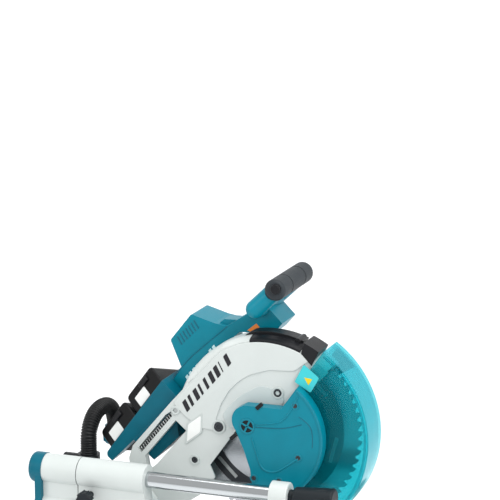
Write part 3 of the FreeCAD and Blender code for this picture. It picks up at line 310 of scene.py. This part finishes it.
def surface(name, colour, roughness=0.45, metallic=0.0, grain=0.0, grain_size=0.0006, mottle=0.05,
            mottle_size=0.03, edge_highlight_and_wear=0.06, edge_width=0.9, coat=0.0, stretch=None,
            rough_swing=0.1,
            specular=0.2):
    """A surface with grain, patchy colour, uneven gloss, and rounded edges made slightly lighter: a painted edge
    highlight together with edge wear.
    """
    material = bpy.data.materials.new(name)
    material.use_nodes = True
    nodes = material.node_tree.nodes
    links = material.node_tree.links
    shader = nodes["Principled BSDF"]
    shader.inputs["Metallic"].default_value = metallic
    shader.inputs["Coat Weight"].default_value = coat
    shader.inputs["Coat Roughness"].default_value = 0.12
    shader.inputs["Specular IOR Level"].default_value = specular
    place = nodes.new("ShaderNodeTexCoord")
    mapping = nodes.new("ShaderNodeMapping")
    if stretch:
        mapping.inputs["Scale"].default_value = stretch
    links.new(place.outputs["Object"], mapping.inputs["Vector"])

    def cloud(size, detail):
        texture = nodes.new("ShaderNodeTexNoise")
        texture.inputs["Scale"].default_value = 1.0 / size
        texture.inputs["Detail"].default_value = detail
        links.new(mapping.outputs["Vector"], texture.inputs["Vector"])
        return texture.outputs["Fac"]

    patches = cloud(mottle_size, 4.0)
    fine = cloud(grain_size, 3.0)
    base = linear(colour)
    ramp = nodes.new("ShaderNodeValToRGB")
    ramp.color_ramp.elements[0].position = 0.3
    ramp.color_ramp.elements[1].position = 0.7
    ramp.color_ramp.elements[0].color = (*[v * (1 - mottle) for v in base], 1)
    ramp.color_ramp.elements[1].color = (*[min(1.0, v * (1 + mottle)) for v in base], 1)
    links.new(patches, ramp.inputs["Fac"])

    # Edges found from the rounded normals are lightened: painted edge highlight together with edge wear.
    round_edges = nodes.new("ShaderNodeBevel")
    round_edges.samples = 4
    round_edges.inputs["Radius"].default_value = edge_width * MM
    geometry = nodes.new("ShaderNodeNewGeometry")
    turn = nodes.new("ShaderNodeVectorMath")
    turn.operation = "DOT_PRODUCT"
    links.new(round_edges.outputs["Normal"], turn.inputs[0])
    links.new(geometry.outputs["Normal"], turn.inputs[1])
    edge = nodes.new("ShaderNodeMapRange")
    edge.inputs["From Min"].default_value = 1.0
    edge.inputs["From Max"].default_value = 0.86
    edge.inputs["To Max"].default_value = edge_highlight_and_wear
    links.new(turn.outputs["Value"], edge.inputs["Value"])
    lighten = nodes.new("ShaderNodeMix")
    lighten.data_type = "RGBA"
    lighten.inputs["B"].default_value = (1, 1, 1, 1)
    links.new(edge.outputs["Result"], lighten.inputs["Factor"])
    links.new(ramp.outputs["Color"], lighten.inputs["A"])
    links.new(lighten.outputs["Result"], shader.inputs["Base Color"])

    gloss = nodes.new("ShaderNodeMapRange")
    gloss.inputs["From Min"].default_value = 0.3
    gloss.inputs["From Max"].default_value = 0.7
    gloss.inputs["To Min"].default_value = max(0.02, roughness * (1 - rough_swing))
    gloss.inputs["To Max"].default_value = min(1.0, roughness * (1 + rough_swing))
    links.new(fine if stretch else patches, gloss.inputs["Value"])
    links.new(gloss.outputs["Result"], shader.inputs["Roughness"])

    bump = nodes.new("ShaderNodeBump")
    bump.inputs["Strength"].default_value = grain
    bump.inputs["Distance"].default_value = 0.0003
    links.new(fine, bump.inputs["Height"])
    links.new(round_edges.outputs["Normal"], bump.inputs["Normal"])
    links.new(bump.outputs["Normal"], shader.inputs["Normal"])
    return material


def tinted_clear(name, tint, body_colour, body_share=0.16, roughness=0.06):
    """Thin tinted clear plastic: light passes straight through each wall and takes its tint."""
    material = bpy.data.materials.new(name)
    material.use_nodes = True
    nodes = material.node_tree.nodes
    links = material.node_tree.links
    nodes.clear()
    output = nodes.new("ShaderNodeOutputMaterial")
    through = nodes.new("ShaderNodeBsdfTransparent")
    through.inputs["Color"].default_value = (*tint, 1)
    shell = nodes.new("ShaderNodeBsdfPrincipled")
    shell.inputs["Base Color"].default_value = (*linear(body_colour), 1)
    place = nodes.new("ShaderNodeTexCoord")
    haze = nodes.new("ShaderNodeTexNoise")
    haze.inputs["Scale"].default_value = 30.0
    haze.inputs["Detail"].default_value = 5.0
    links.new(place.outputs["Object"], haze.inputs["Vector"])
    gloss = nodes.new("ShaderNodeMapRange")
    gloss.inputs["To Min"].default_value = roughness
    gloss.inputs["To Max"].default_value = roughness * 2.5
    links.new(haze.outputs["Fac"], gloss.inputs["Value"])
    links.new(gloss.outputs["Result"], shell.inputs["Roughness"])
    waves = nodes.new("ShaderNodeTexNoise")
    waves.inputs["Scale"].default_value = 14.0
    links.new(place.outputs["Object"], waves.inputs["Vector"])
    bump = nodes.new("ShaderNodeBump")
    bump.inputs["Strength"].default_value = 0.25
    bump.inputs["Distance"].default_value = 0.004
    links.new(waves.outputs["Fac"], bump.inputs["Height"])
    links.new(bump.outputs["Normal"], shell.inputs["Normal"])
    share = nodes.new("ShaderNodeLayerWeight")
    share.inputs["Blend"].default_value = 0.32
    amount = nodes.new("ShaderNodeMapRange")
    amount.inputs["To Min"].default_value = body_share
    amount.inputs["To Max"].default_value = 0.92
    links.new(share.outputs["Facing"], amount.inputs["Value"])
    mix = nodes.new("ShaderNodeMixShader")
    links.new(amount.outputs["Result"], mix.inputs["Fac"])
    links.new(through.outputs["BSDF"], mix.inputs[1])
    links.new(shell.outputs["BSDF"], mix.inputs[2])
    links.new(mix.outputs["Shader"], output.inputs["Surface"])
    return material


BRUSHED_X = (0.04, 1.0, 1.0)
BRUSHED_Y = (1.0, 0.04, 1.0)
MATERIALS = {
    "beam_metal": surface("beam_metal", (176, 180, 182), 0.34, 1.0, 0.12, 0.0008, 0.05,
                          stretch=BRUSHED_X),
    "stand_steel": surface("stand_steel", (0, 108, 126), 0.38, 0.0, 0.10, 0.002, 0.06, coat=0.25),
    "dark_steel": surface("dark_steel", (46, 50, 54), 0.42, 0.1, 0.12, 0.0012, 0.08, coat=0.1),
    "bare_steel": surface("bare_steel", (176, 180, 182), 0.28, 1.0, 0.10, 0.0007, 0.06),
    "rail_steel": surface("rail_steel", (186, 190, 192), 0.13, 1.0, 0.03, 0.0005, 0.03,
                          stretch=BRUSHED_Y),
    "rubber": surface("rubber", (34, 35, 37), 0.78, 0.0, 0.5, 0.0010, 0.12, edge_highlight_and_wear=0.02),
    "black_plastic": surface("black_plastic", (24, 25, 28), 0.36, 0.0, 0.22, 0.0007, 0.08,
                             edge_highlight_and_wear=0.03),
    "knob_plastic": surface("knob_plastic", (26, 32, 36), 0.46, 0.0, 0.30, 0.0008, 0.08,
                            edge_highlight_and_wear=0.04),
    "cast_white": surface("cast_white", (197, 203, 201), 0.36, 0.0, 0.16, 0.0016, 0.02, 0.05,
                          coat=0.15),
    "cast_grey": surface("cast_grey", (186, 193, 191), 0.42, 0.0, 0.35, 0.0014, 0.04, 0.02,
                         coat=0.1),
    "table_metal": surface("table_metal", (190, 194, 196), 0.30, 1.0, 0.15, 0.0006, 0.05,
                           stretch=BRUSHED_X),
    "teal_plastic": surface("teal_plastic", (0, 120, 139), 0.34, 0.0, 0.14, 0.0006, 0.05,
                            edge_highlight_and_wear=0.05),
    "teal_dark": surface("teal_dark", (0, 94, 113), 0.38, 0.0, 0.20, 0.0006, 0.06, edge_highlight_and_wear=0.05),
    "grip_rubber": surface("grip_rubber", (46, 51, 55), 0.55, 0.0, 0.55, 0.0010, 0.08,
                           edge_highlight_and_wear=0.04),
    "battery_plastic": surface("battery_plastic", (10, 11, 13), 0.30, 0.0, 0.18, 0.0006, 0.12,
                               edge_highlight_and_wear=0.03),
    "hose_plastic": surface("hose_plastic", (24, 25, 26), 0.40, 0.0, 0.15, 0.0010, 0.08,
                            edge_highlight_and_wear=0.0),
    "blade_steel": surface("blade_steel", (166, 170, 174), 0.22, 1.0, 0.06, 0.0006, 0.06),
    "guard_clear": tinted_clear("guard_clear", (0.44, 0.89, 0.92), (0, 156, 172), 0.12),
    "guard_edge": tinted_clear("guard_edge", (0.34, 0.80, 0.86), (0, 150, 166), 0.35),
}
MATERIALS["label_white"] = surface("label_white", (228, 230, 228), 0.5, 0.0, 0.05, 0.001, 0.03,
                                   edge_width=0.2)
# Dark print, also used for the painted shade sheet inside the guard.
MATERIALS["print_and_shade_dark"] = surface("print_and_shade_dark", (38, 38, 42), 0.45, 0.0, 0.05, 0.001, 0.06,
                                  edge_highlight_and_wear=0.0)
MATERIALS["print_pale"] = surface("print_pale", (196, 226, 230), 0.5, 0.0, 0.05, 0.001, 0.03,
                                  edge_width=0.2)
MATERIALS["sticker_orange"] = surface("sticker_orange", (228, 132, 62), 0.45, 0.0, 0.05, 0.001,
                                      0.04)
MATERIALS["sticker_yellow"] = surface("sticker_yellow", (226, 196, 40), 0.45, 0.0, 0.05, 0.001,
                                      0.04)
MATERIALS["red_plastic"] = surface("red_plastic", (176, 30, 40), 0.35, 0.0, 0.1, 0.001, 0.05)
MATERIALS["rib_silver"] = surface("rib_silver", (168, 172, 172), 0.32, 0.8, 0.2, 0.0012, 0.05)
# Darker copy of cast_white for the case's inner plate: painted shade.
MATERIALS["cast_painted_shade"] = surface("cast_painted_shade", (188, 197, 196), 0.38, 0.0, 0.16, 0.0016, 0.02,
                                  0.05, coat=0.1)
MATERIALS["label_teal"] = surface("label_teal", (64, 190, 196), 0.4, 0.0, 0.05, 0.001, 0.04)
MATERIALS["blade_dark"] = surface("blade_dark", (58, 60, 64), 0.3, 0.6, 0.05, 0.001, 0.05)
MATERIALS["seam_dark"] = surface("seam_dark", (24, 28, 30), 0.6, 0.0, 0.1, 0.001, 0.05,
                                 edge_highlight_and_wear=0.0)


def dress_parts():
    """Give every solid part the material of its slot."""
    for part in frame["record"]["subparts"]:
        node = frame["nodes"][part["node"]]
        node.data.materials.clear()
        node.data.materials.append(MATERIALS[part["material_slot"]])


# ---- studio -----------------------------------------------------------------------------------
FLOOR_NEAR, FLOOR_DEPTH, FLOOR_HALF_WIDTH = -6.0, 9.0, 14.0
SWEEP_RADIUS, WALL_HEIGHT = 2.0, 9.0
FLOOR_HEADING = (0.94, 0.342, 0)
FLOOR_ACROSS = (0.342, -0.94, 0)
FLOOR_GLOW = 0.3
WORLD_GLOW = 0.72
LAMP_TARGET = (0, 0, 1.15)


def add_studio():
    """Pale floor that curves up into a wall, with soft lamps."""
    profile = [(FLOOR_NEAR, 0.0), (FLOOR_DEPTH, 0.0)]
    for step in range(1, 13):
        angle = math.radians(90 * step / 12)
        profile.append((FLOOR_DEPTH + SWEEP_RADIUS * math.sin(angle),
                        SWEEP_RADIUS * (1 - math.cos(angle))))
    profile.append((FLOOR_DEPTH + SWEEP_RADIUS, WALL_HEIGHT))
    heading = Vector(FLOOR_HEADING)
    across = Vector(FLOOR_ACROSS)
    bm = bmesh.new()
    rows = []
    for reach, height in profile:
        rows.append([bm.verts.new(heading * reach + across * side * FLOOR_HALF_WIDTH
                                  + Vector((0, 0, height))) for side in (-1, 1)])
    for row, following in zip(rows, rows[1:]):
        bm.faces.new((row[0], row[1], following[1], following[0]))
    paint = surface("floor", (246, 247, 248), 0.6, 0.0, 0.05, 0.01, 0.01, edge_highlight_and_wear=0.0)
    shader = paint.node_tree.nodes["Principled BSDF"]
    shader.inputs["Emission Color"].default_value = (1, 1, 1, 1)
    shader.inputs["Emission Strength"].default_value = FLOOR_GLOW
    floor = finish_piece("studio_floor", bm, paint, None, smooth=True)
    world = bpy.data.worlds.new("studio")
    world.use_nodes = True
    sky = world.node_tree.nodes["Background"]
    sky.inputs["Color"].default_value = (1.0, 1.0, 1.0, 1)
    sky.inputs["Strength"].default_value = WORLD_GLOW
    bpy.context.scene.world = world
    target = Vector(LAMP_TARGET)

    def lamp(name, place, size, power):
        light = bpy.data.lights.new(name, "AREA")
        light.shape = "RECTANGLE"
        light.size, light.size_y = size
        light.energy = power
        holder = bpy.data.objects.new(name, light)
        bpy.context.scene.collection.objects.link(holder)
        holder.location = place
        holder.rotation_euler = (target - Vector(place)).to_track_quat("-Z", "Y").to_euler()
    lamp("top", (-0.4, -0.3, 4.2), (2.6, 2.6), 70)
    lamp("key", (-2.2, -2.6, 3.6), (1.6, 1.2), 70)
    lamp("side", (-2.4, 2.6, 2.2), (1.0, 2.0), 25)
    lamp("strip", (0.4, -3.2, 1.6), (0.5, 2.4), 24)
    scene = bpy.context.scene
    scene.view_settings.view_transform = "Standard"
    scene.view_settings.look = "None"


# ---- blade case -------------------------------------------------------------------------------
CASE_TOP = [(295, 92.5), (272, 93), (221, 89.5), (168, 85.5)]
RIDGE = [(190, 8), (209.9, 20.5), (232, 31), (259.2, 38.1), (283, 38), (303.2, 33.9), (335.2, 18.1),
         (352, 2), (366, -10)]
INNER_RIDGE = [(219, 17.4), (241.5, 20.4), (270.4, 20.3), (304.7, 11.4), (325, -16), (319.9, -33)]


CROWN_RADIUS = 157.2      # of the blade case's top, round the blade's centre


def side_plate(name, outline, x0, x1, material, body, bevel):
    """One flat plate of a side-on outline, as a piece."""
    bm = bmesh.new()
    extrude_side(bm, outline, x0, x1)
    return finish_piece(name, bm, MATERIALS[material], body, bevel=bevel)


def side_radius(degrees):
    """Distance from the blade's centre to the upper edge of the case's flat left side."""
    return min(151.0, 145.0 / math.sin(math.radians(max(degrees, 20.0))))


def shoulder_band(name, material, start, end, lift, x_left):
    """Rounded band from the case's flat left side up to its crown, between two angles."""
    bm = bmesh.new()
    rings = []
    count = max(8, round((end - start) / 2))
    for step in range(count + 1):
        degrees = start + (end - start) * step / count
        inner = side_radius(degrees)
        rise = CROWN_RADIUS - inner
        section = [(x_left, inner - 3), (x_left - lift, inner - 3), (x_left - lift, inner - 0.4),
                   (-34.6 - lift, inner + 0.8 + lift), (-29.0 - lift, inner + rise * 0.52 + lift),
                   (-21.0, inner + rise * 0.86 + lift), (-13.9, CROWN_RADIUS + lift),
                   (-13.9, 154.9), (-29.0, inner + rise * 0.52 - 2.4)]
        rings.append([bm.verts.new(HEAD @ Vector((x, *polar(radius, degrees))))
                      for x, radius in section])
    join_rings(bm, rings)
    bm.faces.new(rings[0])
    bm.faces.new(rings[-1])
    finish_piece(name, bm, MATERIALS[material], "head", bevel=0.5)


def add_case_shoulder():
    """Rounded casting over the blade's teeth, and the wear strip's skirt on it."""
    shoulder_band("case_shoulder", "cast_white", 2.0, 117.0, 0.0, -35.8)
    shoulder_band("strip_skirt", "black_plastic", 22.0, 55.0, 1.1, -35.4)


def add_case_skin():
    """Raised bands of the case's left side, its blank badge, its bolts and the stay's ring."""
    band = RIDGE + [polar(149.3, 14)] + blade_arc(149.3, 17, 62) + CASE_TOP + [(168, 56), (176, 24)]
    side_plate("case_band", rounded_outline(band, 5), -35.6, -38.0, "cast_white", "head",
               1.1)
    # The inner plate takes the darker copy of the casting colour, painted shade.
    inner = INNER_RIDGE + [(300, -40), (262, -24), (236, -30), (214, -8)]
    side_plate("case_inner_plate", rounded_outline(inner, 7), -35.6, -37.4, "cast_painted_shade", "head",
               0.8)
    badge = rounded_outline([(197, 41.6), (172, 18), (134, 22.3), (162, 46)], 4)
    side_plate("badge_rim", badge, CASE_SKIN, -38.3, "cast_grey", "head", 0.6)
    centre = Vector((166.4, 32))
    shrunk = [tuple(centre + (Vector(point) - centre) * 0.8) for point in badge]
    side_plate("badge_face", shrunk, -37.0, -38.5, "label_white", "head", 0.3)
    for number, (place, radius) in enumerate([((201, 7), 8.0), ((319, -17), 6.5),
                                              ((129, -6), 5.0)]):
        boss = bmesh.new()
        ring_side(boss, circle(place, radius + 3.6), circle(place, radius + 0.3), CASE_SKIN, -38.2)
        finish_piece(f"case_bolt_boss_{number}", boss, MATERIALS["cast_grey"], "head",
                     bevel=0.6)
        bolt = bmesh.new()
        socket_screw(bolt, facing((CASE_SKIN, *place), (-1, 0, 0)), radius, 2.5)
        finish_piece(f"case_bolt_{number}", bolt, MATERIALS["dark_steel"], "head",
                     bevel=0.2)
    loop = bmesh.new()
    stay_end = (162, 74)
    ring_side(loop, circle(stay_end, 7.6), circle(stay_end, 3.6), CASE_SKIN, -38.4)
    finish_piece("stay_ring", loop, MATERIALS["cast_grey"], "head", bevel=1.0)
    side_plate("stay_ring_floor", circle(stay_end, 3.5), CASE_SKIN, -36.4, "rib_silver", "head",
               0.0)


def add_case_mark():
    """A row of plain slanted bars along the band."""
    for number in range(9):
        along = 176.0 + 13.6 * number
        low = 58.5 + 1.05 * number
        high = low + 17.5
        width = 8.8 - 2.6 * (number % 3 == 1) - 4.0 * (number % 4 == 3)
        outline = [(along, low), (along + width, low + 0.9), (along + width + 5.2, high + 0.9),
                   (along + 5.2, high)]
        side_plate(f"case_mark_{number}", rounded_outline(outline, 1.2), -37.8, -38.25,
                   "print_and_shade_dark", "head", 0.0)


def add_stay_insert():
    """Ribbed silver lining seen in the long slot of the stay."""
    bm = bmesh.new()
    for number in range(17):
        a = 66 + 5.1 * number
        low = 61.6 + 0.092 * (a - 64)
        rib = [(a, low + 1.0), (a + 1.7, low + 1.2), (a + 2.6, low + 8.4), (a + 0.9, low + 8.2)]
        extrude_side(bm, rib, -22, -32)
    extrude_side(bm, [(62, 61), (154, 69.5), (156, 79), (64, 72)], -20.5, -22.5)
    finish_piece("stay_insert", bm, MATERIALS["rib_silver"], "head", bevel=0.3)


# ---- centre cover and guard -------------------------------------------------------------------
def add_cover_details():
    """Port, ribs, screws and raised rim of the centre cover."""
    port = (252, -24)
    side_plate("cover_port", circle(port, 10.2), -61.9, -62.3, "seam_dark", "guard",
               0.0)
    cross = bmesh.new()
    for turn in (20, 110):
        angle = math.radians(turn)
        ahead = Vector((math.cos(angle), math.sin(angle)))
        across = Vector((-ahead.y, ahead.x))
        corners = [Vector(port) + ahead * u + across * v for u, v in
                   ((-11, -1.5), (11, -1.5), (11, 1.5), (-11, 1.5))]
        extrude_side(cross, [tuple(corner) for corner in corners], COVER_SKIN, -63.4)
    ring_side(cross, circle(port, 12.6), circle(port, 10.0), COVER_SKIN, -63.6)
    finish_piece("cover_port_grille", cross, MATERIALS["teal_plastic"], "guard",
                 bevel=0.4)
    rim = bmesh.new()
    outer = blade_arc(104.6, 8, -138)
    inner = blade_arc(101.2, 8, -138)
    extrude_side(rim, outer + inner[::-1], COVER_SKIN, -63.2)
    finish_piece("cover_rim", rim, MATERIALS["teal_plastic"], "guard", bevel=0.6)
    ribs = bmesh.new()
    long_rib = [(244.7, -42.9), (232, -67), (220.4, -91.1), (234, -108.4), (258, -113),
                (280.7, -116)]
    bead(ribs, long_rib, -62, 1.5)
    bead(ribs, [(266, -31), (290, -50), (312, -58), (352, -44)], -62, 1.3)
    finish_piece("cover_ribs", ribs, MATERIALS["teal_plastic"], "guard",
                 smooth=True)
    # Darker teal lines along the cover's grooves: painted shade in the grooves.
    groove = bmesh.new()
    bead(groove, [(262, -34), (284, -55), (304, -70), (325, -80)], -61.9, 0.8)
    bead(groove, [(330, -68), (336, -86), (328, -104), (312, -118)], -61.9, 0.7)
    finish_piece("cover_groove_shade", groove, MATERIALS["teal_dark"], "guard", smooth=True)
    for number, place in enumerate([(338, -51), (282, -115), (230, -122), (200, -92)]):
        boss = bmesh.new()
        ring_side(boss, circle(place, 6.4), circle(place, 4.0), COVER_SKIN, -63.2)
        finish_piece(f"cover_boss_{number}", boss, MATERIALS["teal_plastic"], "guard",
                     bevel=0.5)
        screw = bmesh.new()
        socket_screw(screw, facing((-61.9, *place), (-1, 0, 0)), 3.8, 1.2)
        finish_piece(f"cover_screw_{number}", screw, MATERIALS["dark_steel"], "guard",
                     bevel=0.15)
    for number, (a, b) in enumerate([(291.7, -13.7), (222.0, -21.5)]):
        tab = rounded_outline([(a - 7, b - 3), (a + 7, b - 3.5), (a + 7, b + 3), (a - 7, b + 3.5)],
                              1.5)
        side_plate(f"cover_tab_{number}", tab, -61.5, -64.0, "black_plastic", "guard",
                   0.5)


def add_guard_details():
    """Plain label with a plain sign, and edge bands, of the clear guard."""
    label = [(356, -22), (388, -12), (392, -44), (364, -52)]
    side_plate("guard_label", rounded_outline(label, 3), -41.9, -42.3, "label_teal", "guard",
               0.0)
    sign = rounded_outline([(370, -41), (382, -38), (373.5, -27)], 1.2)
    side_plate("guard_sign", sign, -42.2, -42.5, "sticker_yellow", "guard", 0.0)
    bands = bmesh.new()
    start, end = 9, -136
    for radius in (170.5, 168.4):
        band = blade_arc(radius, start, end) + blade_arc(radius - 1.1, end, start)
        extrude_side(bands, band, -41.8, -43.0)
    finish_piece("guard_edge_bands", bands, MATERIALS["guard_edge"], "guard",
                 bevel=0.3)


def add_guard_shade_sheet():
    """Dark sheet inside the guard's right wall, near its upper end: painted shade seen through the clear guard."""
    outline = blade_arc(168, 8, -6) + blade_arc(136, -4, 8)
    side_plate("guard_shade_sheet", outline, 24.7, 25.1, "print_and_shade_dark", "guard", 0.0)


def add_blade_print():
    """Dark printed band on the blade, with six bright marks on it."""
    bm = bmesh.new()
    hub = (BLADE_FORWARD, BLADE_UP)
    ring_side(bm, circle(hub, 122, 96), circle(hub, 98, 96), -0.9, -1.45)
    finish_piece("blade_print", bm, MATERIALS["blade_dark"], "blade")
    marks = bmesh.new()
    for turn in range(0, 360, 60):
        angle = math.radians(turn)
        centre = Vector((BLADE_FORWARD + 110 * math.cos(angle), BLADE_UP + 110 * math.sin(angle)))
        ahead = Vector((-math.sin(angle), math.cos(angle)))
        out = Vector((math.cos(angle), math.sin(angle)))
        corners = [centre + ahead * u + out * v
                   for u, v in ((-22, -5), (22, -5), (22, 1), (-22, 1))]
        extrude_side(marks, [tuple(corner) for corner in corners], -1.3, -1.6)
    finish_piece("blade_marks", marks, MATERIALS["rib_silver"], "blade")


# ---- motor and batteries ----------------------------------------------------------------------
def add_housing_details():
    """Pale blank decals, an orange sticker, a seam and louvres on the motor housing."""
    decals = [(181, 100), (190, 100.6), (199, 101.2), (208, 101.8), (244, 105), (253, 105.4)]
    for number, (a, b) in enumerate(decals):
        outline = [(a, b), (a + 6, b + 0.5), (a + 7.4, b + 8), (a + 1.4, b + 7.5)]
        side_plate(f"housing_decal_{number}", rounded_outline(outline, 0.8), HOUSING_SKIN, 29.5,
                   "print_pale", "head", 0.0)
    sticker = rounded_outline([(322, 93), (342, 91), (342, 83), (326, 85)], 1.0)
    side_plate("housing_sticker", sticker, HOUSING_SKIN, 29.5, "sticker_orange", "head",
               0.0)
    louvres = bmesh.new()
    for number in range(7):
        a = 214 + 7 * number
        extrude_side(louvres, [(a, 150), (a + 3, 150.3), (a + 6, 166), (a + 3, 165.7)], 34.6, 33.4)
    finish_piece("housing_louvres", louvres, MATERIALS["teal_dark"], "head", bevel=0.4)
    seam = bmesh.new()
    bead(seam, [(166, 119), (200, 125.4), (250, 123), (300, 120)], 30.0, 0.7)
    finish_piece("housing_seam", seam, MATERIALS["teal_dark"], "head", smooth=True)


PACK_SLOPE = 25.0         # degrees, of a battery's length, down to its right end
PACK_PITCH = 81.0
PACK_LEFT = 8.0
UPPER_PACK = 119.0        # forward of the chop pivot
PACK_SINK = -4.0
ROW_TILT = 8.3            # degrees, of the row of batteries, against the head's long axis
SEAT_UP = 104.2
HEAD_RAISED = 45.0        # degrees


def pack_frame(index):
    """Millimetres along, back and up in a sloping battery's own frame, to the row frame."""
    slope = Matrix.Rotation(math.radians(PACK_SLOPE), 4, "Y")
    shift = Matrix.Translation((PACK_LEFT, PACK_PITCH * index - UPPER_PACK, PACK_SINK))
    tilt = Matrix.Rotation(math.radians(-ROW_TILT), 4, "X")
    seat = Matrix.Translation((0, 0, SEAT_UP))
    raised = Matrix.Rotation(math.radians(-HEAD_RAISED), 4, "X")
    return Matrix.Translation(PIVOT) @ raised @ Matrix.Scale(MM, 4) @ seat @ tilt @ shift @ slope


def add_battery_details():
    """Blank white label, red strip, end groove and a band of ribs on each battery."""
    for index, body in enumerate(("pack_upper", "pack_lower")):
        place = pack_frame(index)

        def slab(name, y0, y1, z0, z1, x0, x1, material):
            bm = bmesh.new()
            outline = rounded_outline([(y0, z0), (y1, z0), (y1, z1), (y0, z1)], 2.0)
            extrude_side(bm, outline, x0, x1, place)
            finish_piece(f"{body}_{name}", bm, MATERIALS[material], body)
        slab("label", -4, 24, 7, 27.4, -0.5, 0.2, "label_white")
        slab("strip", -6, 22, 3.6, 5.8, -0.5, 0.2, "red_plastic")
        slab("groove", -33, 33, 0.8, 2.2, -0.4, 0.3, "seam_dark")
        bm = bmesh.new()
        for number in range(5):
            x = 26 + 14 * number
            extrude_side(bm, [(-24, 41.8), (24, 41.8), (24, 43.0), (-24, 43.0)], x, x + 5, place)
        finish_piece(f"{body}_ribs", bm, MATERIALS["battery_plastic"], body,
                     bevel=0.5)


# ---- build ------------------------------------------------------------------------------------
add_camera()
dress_parts()
add_hose()
add_case_shoulder()
add_case_skin()
add_case_mark()
add_stay_insert()
add_cover_details()
add_guard_details()
add_guard_shade_sheet()
add_blade_print()
add_housing_details()
add_battery_details()
add_studio()
